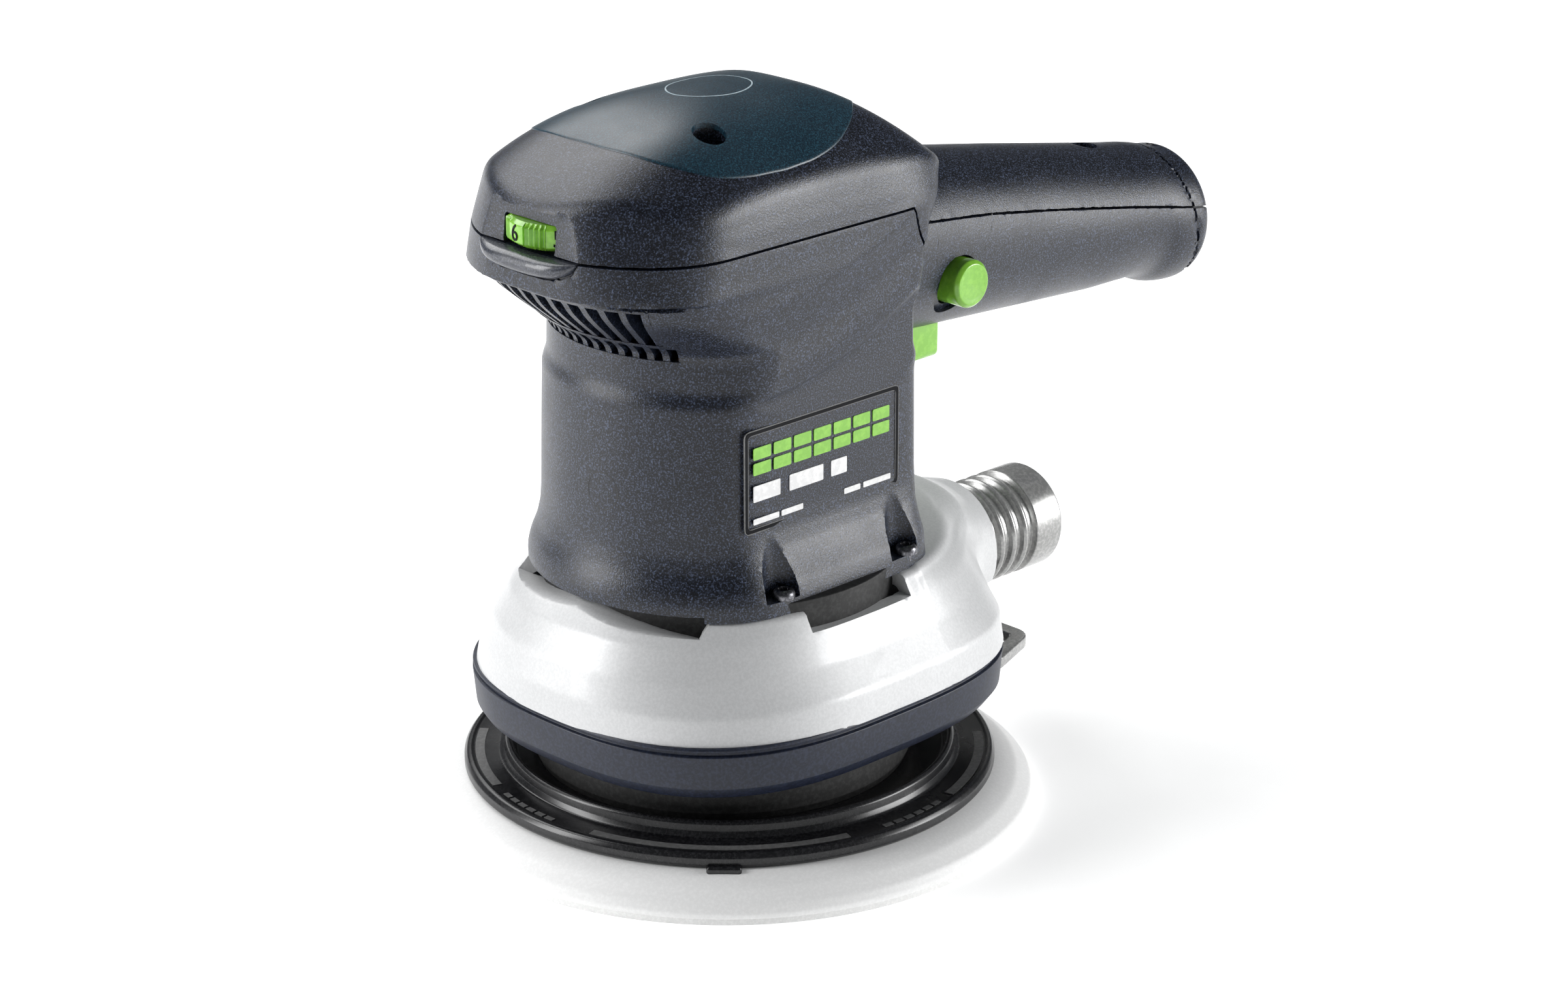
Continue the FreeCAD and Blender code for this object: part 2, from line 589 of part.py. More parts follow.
def make_motor():
    core = ring("stator_core", "Sizes.stator_inner", "Sizes.stator_outer", "Sizes.core_low", "Sizes.core_top")
    slot = block_sketch(core, "Sizes.stator_inner - 3", 25.2, 8.2)
    cut_pattern(core, slot, "Sizes.core_low - 1", 60, 2)

    coils = ring("stator_coils", 20.5, 28.5, "Sizes.core_low - 5.5", "Sizes.core_low")
    legs = block_sketch(coils, 20.7, 25, 8)
    add_pattern(coils, legs, "Sizes.core_low - 1", "Sizes.core_top - Sizes.core_low + 2", 2)
    crown = polygon_sketch(coils, "XZ_Plane", [
        (20.5, "Sizes.core_top"), (28.5, "Sizes.core_top"), (28.5, "Sizes.core_top + 4.5"),
        (20.5, "Sizes.core_top + 5.5"),
    ])
    turned = coils.newObject("PartDesign::Revolution", "stator_coils_top")
    turned.Profile = crown
    turned.ReferenceAxis = (crown, ["V_Axis"])
    turned.Angle = 360
    coils.Tip = turned

    holders, brushes, springs = [], [], []
    for side, name in ((1, "left"), (-1, "right")):
        reach = (14, 30.6)
        low, high = sorted(side * value for value in reach)
        outer = solid_box((-5.2, low, 118.9), (5.2, high, 128.1))
        hollow_end = 29.4
        low, high = sorted(side * value for value in (reach[0] - 1, hollow_end))
        holders.append(outer.cut(solid_box((-3.6, low, 120.4), (3.6, high, 126.6))))
        low, high = sorted(side * value for value in (size("commutator_radius") + 0.35, 23))
        brushes.append(solid_box((-3.5, low, 120.5), (3.5, high, 126.5)))
        path = Part.makeHelix(1.9, 5.3, 2.3)
        wire_end = Part.Wire(Part.makeCircle(0.4, Vector(2.3, 0, 0), Vector(0, 1, 0)))
        coil = Part.Wire(path).makePipeShell([wire_end], True, True)
        coil.Placement = Placement(Vector(0, side * 23.5, 123.5), Rotation(Vector(0, 0, 1), Vector(0, side, 0)))
        springs.append(coil)
    part_feature("brush_holders", Part.makeCompound(holders))
    part_feature("carbon_brushes", Part.makeCompound(brushes))
    part_feature("brush_springs", Part.makeCompound(springs))

    flange = revolve("bearing_flange", [
        (9, 44), ("Sizes.lower_bearing_outer + 3.5", 44), ("Sizes.lower_bearing_outer + 3.5", "Sizes.partition_top"),
        (46, "Sizes.partition_top"), (46, "Sizes.partition_top + 2.6"),
        ("Sizes.lower_bearing_outer + 3.5", "Sizes.partition_top + 2.6"),
        ("Sizes.lower_bearing_outer + 3.5", 55.2), ("Sizes.lower_bearing_outer", 55.2),
        ("Sizes.lower_bearing_outer", "Sizes.lower_bearing_low"), (9, "Sizes.lower_bearing_low"),
    ])
    cut_pattern(flange, hole_sketch(flange, 42.5, 1.7), 40, 20, 6)
    place(flange, turn=30)
    screws = []
    for step in range(6):
        bearing = math.radians(60 * step + 30)
        x, y, top = 42.5 * math.cos(bearing), 42.5 * math.sin(bearing), size("partition_top") + 2.6
        head = solid_cylinder(2.9, (x, y, top), (x, y, top + 2))
        head = head.cut(solid_cylinder(1.2, (x, y, top + 0.8), (x, y, top + 3)))
        screws.append(head.fuse(solid_cylinder(1.6, (x, y, top - 5.6), (x, y, top))))
    part_feature("flange_screws", Part.makeCompound(screws))
    ring("retaining_ring", 11.4, "Sizes.lower_bearing_outer", 54, 55)
    ring("bearing_boot", "Sizes.upper_bearing_outer", 12.4, "Sizes.upper_bearing_low", "Sizes.upper_bearing_low + 7")
    revolve("brake_seal", [
        (43.4, 13.6), (45.4, 13.6), (46.2, 15.5), (46.2, "Sizes.skirt_low - 1.6"), (49, "Sizes.skirt_low - 1.6"),
        (49, "Sizes.skirt_low"), (42, "Sizes.skirt_low"), (43.4, "Sizes.skirt_low - 4"),
    ])


# ---------------------------------------------------------------- outer shells

def screw_places():
    side = size("screw_side")
    return [(x, y) for x in (size("screw_front"), size("screw_rear")) for y in (-side, side)]


COVER_SCREWS = ((-22, 20), (-22, -20))
HANDLE_SCREW = 128.8


def make_shells():
    wall, joint, seam = size("wall"), size("housing_joint"), size("head_seam")
    top, roof = 175, 181
    outer = head_solid(0, joint, roof).fuse(tube_solid("handle", len(HANDLE_SECTIONS), 0))
    core = head_solid(wall, joint - 1, top).common(solid_box((-90, -90, joint - 1), (90, 90, roof)))
    handle_room = tube_solid("handle", len(HANDLE_SECTIONS), wall)
    end_of_room = solid_box((20, -60, 60), (size("socket_start") - 1, 60, 200))
    inner = core.fuse(handle_room.common(end_of_room))
    socket_axis = (size("socket_start") - 2, 0, size("socket_z"))
    inner = inner.fuse(solid_cylinder(size("socket_radius") + 0.1, socket_axis, (190, 0, size("socket_z"))))
    shell = outer.cut(inner)

    # stator seat and upper bearing bridge, inside the motor housing
    seat = solid_box((-60, -60, 70), (60, 60, 72)).cut(solid_cylinder(29.2, (0, 0, 60), (0, 0, 80)))
    bridge = solid_box((-60, -60, 132), (60, 60, 135)).fuse(solid_cylinder(15.4, (0, 0, 132), (0, 0, 144.6)))
    bridge = bridge.cut(solid_cylinder(6.4, (0, 0, 120), (0, 0, 160)))
    bridge = bridge.cut(solid_cylinder(12.4, (0, 0, 136.8), (0, 0, 160)))
    for angle in range(45, 360, 90):
        x, y = 25 * math.cos(math.radians(angle)), 25 * math.sin(math.radians(angle))
        bridge = bridge.cut(solid_cylinder(5, (x, y, 120), (x, y, 160)))
    webs = seat.fuse(bridge).common(head_solid(wall - 0.4, joint, 145))

    bosses, pockets = [], []
    for x, y in screw_places():
        bosses.append(solid_cylinder(6, (x, y, joint), (x, y, 79)))
        pockets.append(solid_cylinder(4.1, (x, y, 67), (x, y, 72)))
        pockets.append(solid_cylinder(4.1, (x, y, 70), (x, y * 1.08, 84)))
        pockets.append(solid_cylinder(2.2, (x, y, 60), (x, y, 70)))
    bosses = Part.makeCompound(bosses).common(outer)

    cover_bosses, lower_bosses, cover_holes = [], [], []
    for x, y in COVER_SCREWS:
        cover_bosses.append(solid_cylinder(5.6, (x, y, seam), (x, y, 178)))
        lower_bosses.append(solid_cylinder(4.6, (x, y, 135), (x, y, seam)))
        cover_holes.append(solid_cylinder(4.0, (x, y, 160), (x, y, 190)))
        cover_holes.append(solid_cylinder(2.1, (x, y, seam - 14), (x, y, 165)))
    cover_bosses.append(solid_cylinder(5.6, (HANDLE_SCREW, 0, 120), (HANDLE_SCREW, 0, 142)))
    lower_bosses.append(solid_cylinder(4.6, (HANDLE_SCREW, 0, 100), (HANDLE_SCREW, 0, 135)))
    cover_holes.append(solid_cylinder(4.0, (HANDLE_SCREW, 0, 133), (HANDLE_SCREW, 0, 150)))
    cover_holes.append(solid_cylinder(2.1, (HANDLE_SCREW, 0, 114), (HANDLE_SCREW, 0, 135)))
    cover_bosses = Part.makeCompound(cover_bosses).common(outer)
    lower_bosses = Part.makeCompound(lower_bosses).common(outer)

    above = above_seam()
    cover = shell.common(above).fuse(cover_bosses.common(above))
    housing = shell.cut(above).fuse([lower_bosses.cut(above), webs, bosses])

    # thumb recess and window of the speed dial, with a lip below them
    dial_x, half_window = size("dial_x"), 10.5
    recess = solid_box((-70, -14, seam + 0.3), (-59.1, 14, 160))
    window = solid_box((-70, -half_window, seam), (dial_x, half_window, size("dial_high") + 0.4))
    cover = cover.cut([recess, window.common(above)] + cover_holes)
    lip = solid_cylinder(20, (-42.6, 0, 145), (-42.6, 0, 150))
    lip = lip.cut(solid_cylinder(15.4, (-42.6, 0, 140), (-42.6, 0, 155)))
    lip = lip.common(solid_box((-70, -16, 144), (-57, 16, 151)))

    # cooling-air inlets in the neck below the head
    openings = pockets + cover_holes
    for step in range(-6, 7):
        angle = math.radians(180 + 5.3 * step)
        slot = solid_box((30, -0.9, 121), (70, 0.9, 131))
        slot.rotate(Vector(), Vector(0, 0, 1), math.degrees(angle))
        openings.append(slot)

    # openings for the lock button and the trigger
    lock_axis = (size("lock_x"), size("lock_z"))
    openings.append(solid_cylinder(size("lock_radius") + 0.35, (lock_axis[0], -40, lock_axis[1]),
                                   (lock_axis[0], -10, lock_axis[1])))
    slot_half = size("trigger_half") + 0.6
    front, rear = size("trigger_front") - 1.2, size("trigger_rear") + 1.2
    openings.append(solid_box((front, -slot_half, 90), (rear, slot_half, 114.6)))
    pivot_x, pivot_z = size("pivot_x"), size("pivot_z")
    pin_hole = solid_cylinder(size("pin_radius"), (pivot_x, -10.5, pivot_z), (pivot_x, 10.5, pivot_z))
    ears = [solid_box((39.6, side * 9.2 - 1.4, 105), (46.4, side * 9.2 + 1.4, 113.4)) for side in (-1, 1)]
    housing = housing.cut(openings).fuse([lip] + ears).cut(pin_hole)

    # inlay of the cover's crown, 1.2 mm thick
    outline = [
        (-40, 0), (-38.5, -13), (-34, -22.5), (-27, -27.5), (-12, -30), (4, -27), (18, -21), (28, -12.5), (36, 0),
        (28, 12.5), (18, 21), (4, 27), (-12, 30), (-27, 27.5), (-34, 22.5), (-38.5, 13),
    ]
    loop = smooth_loop([Vector(x, y, 158) for x, y in outline])
    crown = Part.Face(loop).extrude(Vector(0, 0, 30))
    head = head_solid(0, seam, roof)
    lowered = head.copy()
    lowered.translate(Vector(0, 0, -1.3))
    inlay = head.cut(lowered).common(crown).cut(cover_holes)
    cover = cover.cut(inlay)
    part_feature("motor_housing", single(housing))
    part_feature("upper_cover", single(cover))
    part_feature("cover_inlay", single(inlay))


def single(shape):
    """The largest solid of a shape."""
    return max(shape.Solids, key=lambda solid: solid.Volume)


def make_base():
    wall, joint = size("wall"), size("housing_joint")
    seam, count = size("skirt_top"), len(FAN_SECTIONS)
    low, high = size("partition_low"), size("partition_top")
    outer_fan = base_solid("fan", count, 0, seam, joint)
    duct = tube_solid("duct", len(DUCT_SECTIONS), 0)
    outer = outer_fan.fuse(duct)
    room = base_solid("fan", count, wall, seam - 1, joint - wall)
    duct_room = tube_solid("duct", len(DUCT_SECTIONS), wall)
    port_hole = solid_cylinder(13.9, (60, 0, size("duct_height")), (90, 0, size("duct_height")))
    top_hole = solid_cylinder(35, (0, 0, 40), (0, 0, 80))
    shell = outer.cut([room, duct_room, port_hole, top_hole, head_solid(0, joint, 80)])
    partition = solid_box((-70, -70, low), (46, 70, high)).cut(solid_cylinder(38, (0, 0, 30), (0, 0, 60)))
    bosses = [solid_cylinder(5, (x, y, high + 3), (x, y, joint)).common(outer) for x, y in screw_places()]
    shell = shell.fuse([partition.common(outer_fan)] + bosses)
    openings = [solid_cylinder(2.0, (x, y, 52), (x, y, 70)) for x, y in screw_places()]
    for step in range(6):
        bearing = math.radians(60 * step + 30)
        x, y = 42.5 * math.cos(bearing), 42.5 * math.sin(bearing)
        openings.append(solid_cylinder(1.7, (x, y, 42.9), (x, y, 50)))
    # cooling-air outlets: a front slot and one on each side
    front = solid_cylinder(47.6, (0, 0, 59), (0, 0, 65)).cut(solid_cylinder(30, (0, 0, 58), (0, 0, 66)))
    openings.append(front.common(solid_box((-60, -32, 58), (-30, 32, 66))))
    for side in (-1, 1):
        near, far = sorted((side * 34, side * 47))
        openings.append(solid_box((-8, near, 58.4), (18, far, 66)))
    part_feature("fan_housing", single(shell.cut(openings)))

    count = len(SKIRT_SECTIONS)
    band = base_solid("skirt", count, 0, size("skirt_low"), seam)
    hollow = base_solid("skirt", count, wall, size("skirt_low") + 2.2, seam + 1)
    opening = solid_cylinder(42, (0, 0, 20), (0, 0, 30))
    part_feature("skirt", single(band.cut([hollow, opening, duct])))


def make_fasteners():
    housing_screws = []
    for x, y in screw_places():
        head = solid_cylinder(3.4, (x, y, 67), (x, y, 69.6)).cut(solid_cylinder(1.6, (x, y, 68), (x, y, 71)))
        housing_screws.append(head.fuse(solid_cylinder(1.9, (x, y, 52.5), (x, y, 67))))
    part_feature("housing_screws", Part.makeCompound(housing_screws))
    cover_screws = []
    for x, y in COVER_SCREWS:
        head = solid_cylinder(3.6, (x, y, 160), (x, y, 163)).cut(solid_cylinder(1.7, (x, y, 161), (x, y, 165)))
        cover_screws.append(head.fuse(solid_cylinder(2.0, (x, y, 139), (x, y, 160))))
    part_feature("cover_screws", Part.makeCompound(cover_screws))
    x = HANDLE_SCREW
    head = solid_cylinder(3.6, (x, 0, 133), (x, 0, 136)).cut(solid_cylinder(1.7, (x, 0, 134), (x, 0, 138)))
    part_feature("handle_screw", head.fuse(solid_cylinder(2.0, (x, 0, 115), (x, 0, 133))))


def make_outlets():
    port = new_body("dust_port")
    corners = [("Sizes.port_bore", 0), (13.8, 0), (13.8, 7)]
    along, pitch = 7.6, 5.2
    for rib in range(4):
        start = along + pitch * rib
        corners += [
            ("Sizes.port_groove", start), ("Sizes.port_groove", start + 2.4),
            ("Sizes.port_rib", start + 2.8), ("Sizes.port_rib", start + pitch - 0.6),
        ]
    corners += [
        ("Sizes.port_rib", "Sizes.port_end - Sizes.port_start - 0.8"),
        ("Sizes.port_rib - 0.8", "Sizes.port_end - Sizes.port_start"),
        ("Sizes.port_bore + 1.2", "Sizes.port_end - Sizes.port_start"),
        ("Sizes.port_bore", "Sizes.port_end - Sizes.port_start - 1.5"),
    ]
    sketch = polygon_sketch(port, "XZ_Plane", corners)
    turned = port.newObject("PartDesign::Revolution", "dust_port_turned")
    turned.Profile = sketch
    turned.ReferenceAxis = (sketch, ["V_Axis"])
    turned.Angle = 360
    port.Placement = Placement(Vector(), Rotation(Vector(0, 0, 1), Vector(1, 0, 0)))
    place(port, "Sizes.port_start", 0, "Sizes.duct_height")

    reach, half, low = size("bracket_reach"), size("bracket_half"), size("bracket_low")
    band, thick, slope = 4, 3, 6
    frame = solid_box((60, -half, low), (reach, half, low + thick))
    frame = frame.cut(solid_box((55, -half + band, low - 1), (reach - band, half - band, low + thick + 1)))
    corners = [edge for edge in frame.Edges if abs(edge.Length - thick) < 1e-6
               and edge.BoundBox.XMin > reach - 0.1]
    frame = frame.makeFillet(slope, corners)
    skirt = base_solid("skirt", len(SKIRT_SECTIONS), 0, size("skirt_low"), size("skirt_top"))
    part_feature("bag_bracket", single(frame.cut(skirt)))


# ---------------------------------------------------------------- controls and electrics

def make_controls():
    dial = ring("speed_dial", "Sizes.dial_post + 0.06", "Sizes.dial_radius", "Sizes.dial_low", "Sizes.dial_high")
    rib = block_sketch(dial, "Sizes.dial_radius - 0.7", "Sizes.dial_radius + 1", 0.6)
    cut_pattern(dial, rib, "Sizes.dial_low - 1", 10, 26)
    place(dial, "Sizes.dial_x")

    dial_x, dial_low = size("dial_x"), size("dial_low")
    potentiometer = solid_box((dial_x - 6.5, -7, 145.6), (dial_x + 6.5, 7, dial_low - 1.4))
    post = solid_cylinder(size("dial_post"), (dial_x, 0, dial_low - 2), (dial_x, 0, size("dial_high") - 0.4))
    part_feature("speed_potentiometer", potentiometer.fuse(post))

    board = solid_box((-9, -24, 147), (30, 24, 148.6))
    blocks = (((-6, -20, 148.6), (6, -8, 158)), ((10, -20, 148.6), (26, -4, 162)), ((8, 2, 148.6), (18, 18, 155)))
    for low, high in blocks:
        board = board.fuse(solid_box(low, high))
    board = board.fuse(solid_cylinder(5, (24, 12, 148.6), (24, 12, 163)))
    part_feature("speed_controller", board)

    lock_x, lock_z, radius = size("lock_x"), size("lock_z"), size("lock_radius")
    profile = [
        Vector(0, 0, 0), Vector(radius, 0, 0), Vector(radius, 0, 6), Vector(radius - 0.8, 0, 6.9),
        Vector(radius - 2.6, 0, 7.6), Vector(0, 0, 7.9),
    ]
    cap = Part.Face(Part.makePolygon(profile + profile[:1])).revolve(Vector(), Vector(0, 0, 1), 360)
    cap = cap.fuse(solid_cylinder(3, (0, 0, -4.6), (0, 0, 0)))
    outwards = Rotation(Vector(0, 0, 1), Vector(0, -1, 0))
    part_feature("lock_button", cap, Placement(Vector(lock_x, -16.4, lock_z), outwards))
    module_face = -8.5
    turns = abs(-16.2 - module_face) - 0.5
    helix = Part.Wire(Part.makeHelix(1.75, turns - 0.9, 3.9))
    wire_end = Part.Wire(Part.makeCircle(0.35, Vector(3.9, 0, 0), Vector(0, 1, 0)))
    spring = helix.makePipeShell([wire_end], True, True)
    part_feature("lock_spring", spring, Placement(Vector(lock_x, module_face - 0.5, lock_z), outwards))

    module = solid_box((46, module_face, 114.5), (72, -module_face, 129))
    module = module.fuse(solid_box((49, -4, 113.2), (53, 4, 115)))
    part_feature("switch_module", module)

    front, rear, low, half = (size(f"trigger_{name}") for name in ("front", "rear", "low", "half"))
    lever = solid_box((front, -half, low + 4), (rear, half, 108.4))
    lever = lever.fuse(solid_box((front + 8, -half, low), (rear, half, low + 6)))
    outer_edges = [edge for edge in lever.Edges if edge.BoundBox.ZMax < low + 0.1
                   and abs(edge.BoundBox.YMax - edge.BoundBox.YMin - 2 * half) < 0.1]
    lever = lever.makeFillet(2.4, outer_edges)
    pivot = (size("pivot_x"), size("pivot_z"))
    lever = lever.fuse(solid_cylinder(3.2, (pivot[0], -half, pivot[1]), (pivot[0], half, pivot[1])))
    bore = size("pin_radius") + 0.06
    lever = lever.cut(solid_cylinder(bore, (pivot[0], -20, pivot[1]), (pivot[0], 20, pivot[1])))
    part_feature("trigger_lever", lever)
    pin_ends = [(pivot[0], side, pivot[1]) for side in (-10.4, 10.4)]
    part_feature("trigger_pin", solid_cylinder(size("pin_radius"), *pin_ends))
    helix = Part.Wire(Part.makeHelix(1.2, 4.2, 2.6))
    wire_end = Part.Wire(Part.makeCircle(0.35, Vector(2.6, 0, 0), Vector(0, 1, 0)))
    spring = helix.makePipeShell([wire_end], True, True)
    part_feature("trigger_spring", spring, Placement(Vector(61, 0, 109.1), Rotation()))

    start, end, height, socket = size("socket_start"), size("socket_end"), size("socket_z"), size("socket_radius")
    body = solid_cylinder(socket, (start, 0, height), (end, 0, height))
    body = body.cut(solid_cylinder(socket - 3, (start + 6, 0, height), (end + 1, 0, height)))
    contacts, wires = [], []
    for side in (-1, 1):
        spot = side * 5.0
        body = body.cut(solid_cylinder(1.5, (start - 1, spot, height), (end, spot, height)))
        contacts.append(solid_cylinder(1.45, (start - 3, spot, height), (start + 13, spot, height)))
        wires.append(solid_cylinder(1.2, (72.0, side * 7.4, height + 1.8), (start - 3.2, side * 7.4, height + 1.8)))
    part_feature("plug_socket", body)
    part_feature("plug_contacts", Part.makeCompound(contacts))
    part_feature("lead_wires", Part.makeCompound(wires))

    panel = solid_box((-25.2, -34.6, 83.5), (25.2, -33.2, 108.6))
    edges = [edge for edge in panel.Edges if abs(edge.BoundBox.YMax - edge.BoundBox.YMin - 1.4) < 1e-6]
    panel = panel.makeFillet(1.6, edges).cut(head_solid(0, 80, 112))
    part_feature("label_panel", single(panel))


# ---------------------------------------------------------------- build and write

NODES = (
    "pad_hook_face", "pad_foam", "pad_plate", "pad_plate_screws", "pad_spindle", "pad_screw",
    "pad_bearing_inner", "pad_bearing_balls", "pad_bearing_outer",
    "eccentric_hub", "counterweight", "dust_fan", "cooling_fan", "armature_shaft", "armature_core",
    "armature_windings", "commutator", "lower_bearing_inner", "lower_bearing_balls",
    "lower_bearing_outer", "upper_bearing_inner", "upper_bearing_balls", "upper_bearing_outer",
    "stator_core", "stator_coils", "brush_holders", "carbon_brushes", "brush_springs",
    "bearing_flange", "flange_screws", "retaining_ring", "bearing_boot", "brake_seal",
    "motor_housing", "upper_cover", "cover_inlay", "label_panel", "fan_housing", "skirt",
    "housing_screws", "cover_screws", "handle_screw", "dust_port", "bag_bracket", "speed_dial",
    "speed_potentiometer", "speed_controller", "lock_button", "lock_spring", "switch_module",
    "trigger_lever", "trigger_pin", "trigger_spring", "plug_socket", "plug_contacts", "lead_wires",
)


def write_parts():
    document.recompute()
    failed = [thing.Name for thing in document.Objects if {"Invalid", "Error"} & set(thing.State)]
    pieces = {thing.Label: thing for thing in document.Objects if thing.Label in NODES}
    failed += [name for name in NODES if name not in pieces]
    for name, piece in pieces.items():
        if piece.Shape.isNull() or not piece.Shape.isValid() or not piece.Shape.Solids:
            failed.append(name)
    if failed:
        raise RuntimeError(f"not written, because these failed: {failed}")
    os.makedirs("parts", exist_ok=True)
    for name, piece in pieces.items():
        piece.Shape.exportStep(os.path.join("parts", f"{name}.step"))
    print(f"wrote {len(pieces)} pieces")


def bearing_nodes(prefix):
    return {side: f"{prefix}_{side}" for side in ("inner", "balls", "outer")}


fill_sheet()
make_pad()
make_bearing("pb", bearing_nodes("pad_bearing"), "Sizes.journal", "Sizes.pad_bearing_outer",
             "Sizes.pad_bearing_low", 10, "Sizes.orbit_offset")
make_bearing("lb", bearing_nodes("lower_bearing"), "Sizes.shaft_radius", "Sizes.lower_bearing_outer",
             "Sizes.lower_bearing_low", 8)
make_bearing("ub", bearing_nodes("upper_bearing"), "Sizes.shaft_end_radius", "Sizes.upper_bearing_outer",
             "Sizes.upper_bearing_low", 7)
make_rotor()
make_motor()
make_shells()
make_base()
make_fasteners()
make_outlets()
make_controls()
write_parts()
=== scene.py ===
import json
import math

import bmesh
import bpy
import numpy as np
from mathutils import Matrix, Vector


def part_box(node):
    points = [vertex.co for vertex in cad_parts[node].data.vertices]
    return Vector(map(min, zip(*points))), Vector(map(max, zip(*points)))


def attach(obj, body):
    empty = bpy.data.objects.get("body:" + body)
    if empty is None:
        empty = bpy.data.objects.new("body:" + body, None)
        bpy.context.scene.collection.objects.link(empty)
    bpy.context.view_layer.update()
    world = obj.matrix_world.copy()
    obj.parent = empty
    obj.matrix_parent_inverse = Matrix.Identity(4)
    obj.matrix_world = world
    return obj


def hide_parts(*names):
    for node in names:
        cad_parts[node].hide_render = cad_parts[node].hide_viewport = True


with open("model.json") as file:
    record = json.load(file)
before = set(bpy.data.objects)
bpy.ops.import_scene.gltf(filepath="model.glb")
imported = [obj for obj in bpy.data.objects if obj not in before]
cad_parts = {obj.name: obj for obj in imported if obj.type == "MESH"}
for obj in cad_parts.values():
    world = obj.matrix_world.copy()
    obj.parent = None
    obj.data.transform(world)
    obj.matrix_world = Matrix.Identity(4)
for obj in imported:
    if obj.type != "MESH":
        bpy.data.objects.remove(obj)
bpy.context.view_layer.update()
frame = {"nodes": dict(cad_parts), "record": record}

MM = 0.001
PAD_X = 2.5
WALL = 2.6
SEAM_GAP = 0.3


def node_box(name):
    """Lowest and highest corners of a CAD node, in millimetres."""
    low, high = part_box(name)
    return np.array(low) / MM, np.array(high) / MM


# ---- fields

def soft_min(a, b, radius):
    mix = np.clip(0.5 + 0.5 * (b - a) / radius, 0, 1)
    return b + (a - b) * mix - radius * mix * (1 - mix)


def soft_max(a, b, radius):
    return -soft_min(-a, -b, radius)


def both(*fields):
    """The region where every field is below zero."""
    region = fields[0]
    for field in fields[1:]:
        region = np.maximum(region, field)
    return region


def cut(shell, *region):
    return np.maximum(shell, -both(*region))


def add(shell, *region):
    return np.minimum(shell, both(*region))


class Curve:
    """Design values along one direction, softened where the rows of a table meet."""

    def __init__(self, rows, soften=2.0, step=0.2):
        rows = np.array(rows, float)
        places = np.arange(rows[0, 0] - 3 * soften, rows[-1, 0] + 3 * soften, step)
        kernel = np.hanning(2 * round(soften / step) + 1)
        self.places = places
        self.values = [self.softened(np.interp(places, rows[:, 0], column), kernel) for column in rows.T[1:]]

    @staticmethod
    def softened(values, kernel):
        if len(kernel) < 3:
            return values
        wide = np.pad(values, len(kernel) // 2, mode="edge")
        return np.convolve(wide, kernel / kernel.sum(), "valid")

    def __call__(self, place):
        return [np.interp(place, self.places, values) for values in self.values]


class Outline:
    """A body whose plan is a rounded box, with its own front, rear and side at each height."""

    ANGLES = 721
    STEP = 0.2

    def __init__(self, rows, soften=1.5, circles=True, rear_corner=0.0):
        curve = Curve(rows, soften, self.STEP)
        theta = np.linspace(0, math.pi, self.ANGLES)
        cosine, sine = np.cos(theta)[:, None], np.sin(theta)[:, None]
        values = list(curve.values)
        circle = values.pop(0) if circles else np.full(len(curve.places), 1e6)
        front, rear, side, front_power, rear_power = values
        end = np.where(cosine < 0, front, rear)
        power = np.where(cosine < 0, front_power, rear_power)
        circle = circle + np.where(cosine < 0, 0, rear_corner)
        total = (1 / circle) ** power + (sine / side) ** power + (np.abs(cosine) / end) ** power
        self.radius = total ** (-1 / power)
        self.low = curve.places[0]
        around, along = np.gradient(self.radius, math.pi / (self.ANGLES - 1), self.STEP)
        self.scale = 1 / np.sqrt(1 + along ** 2 + (around / self.radius) ** 2)

    def look_up(self, grid, x, y, z):
        row = np.arctan2(np.abs(y), x) / math.pi * (self.ANGLES - 1)
        column = np.clip((z - self.low) / self.STEP, 0, grid.shape[1] - 1.001)
        row = np.clip(row, 0, self.ANGLES - 1.001)
        i, j = row.astype(int), column.astype(int)
        u, v = row - i, column - j
        below = grid[i, j] * (1 - v) + grid[i, j + 1] * v
        above = grid[i + 1, j] * (1 - v) + grid[i + 1, j + 1] * v
        return below * (1 - u) + above * u

    def __call__(self, x, y, z):
        away = np.hypot(x, y) - self.look_up(self.radius, x, y, z)
        return away * self.look_up(self.scale, x, y, z)


class Tube:
    """A rounded tube along X: centre height, half width, half height and power at each place."""

    def __init__(self, rows, soften=4.0):
        self.curve = Curve(rows, soften)
        self.low, self.high = rows[0][0], rows[-1][0]

    def __call__(self, x, y, z):
        centre, width, height, power = self.curve(x)
        reach = ((np.abs(y) / width) ** power + (np.abs(z - centre) / height) ** power) ** (1 / power)
        return (reach - 1) * np.minimum(width, height)


def upright(x, y, centre, radius):
    """Distance to an upright cylinder."""
    return np.hypot(x - centre[0], y - centre[1]) - radius


def block(x, y, z, low, high, corner=0.0):
    """Distance to a box with rounded corners."""
    low, high = np.array(low, float), np.array(high, float)
    middle, half = (low + high) / 2, (high - low) / 2 - corner
    q = [np.abs(v - m) - h for v, m, h in zip((x, y, z), middle, half)]
    outside = np.sqrt(sum(np.maximum(v, 0) ** 2 for v in q))
    return outside + np.minimum(np.maximum(np.maximum(q[0], q[1]), q[2]), 0) - corner


# ---- surfaces from fields

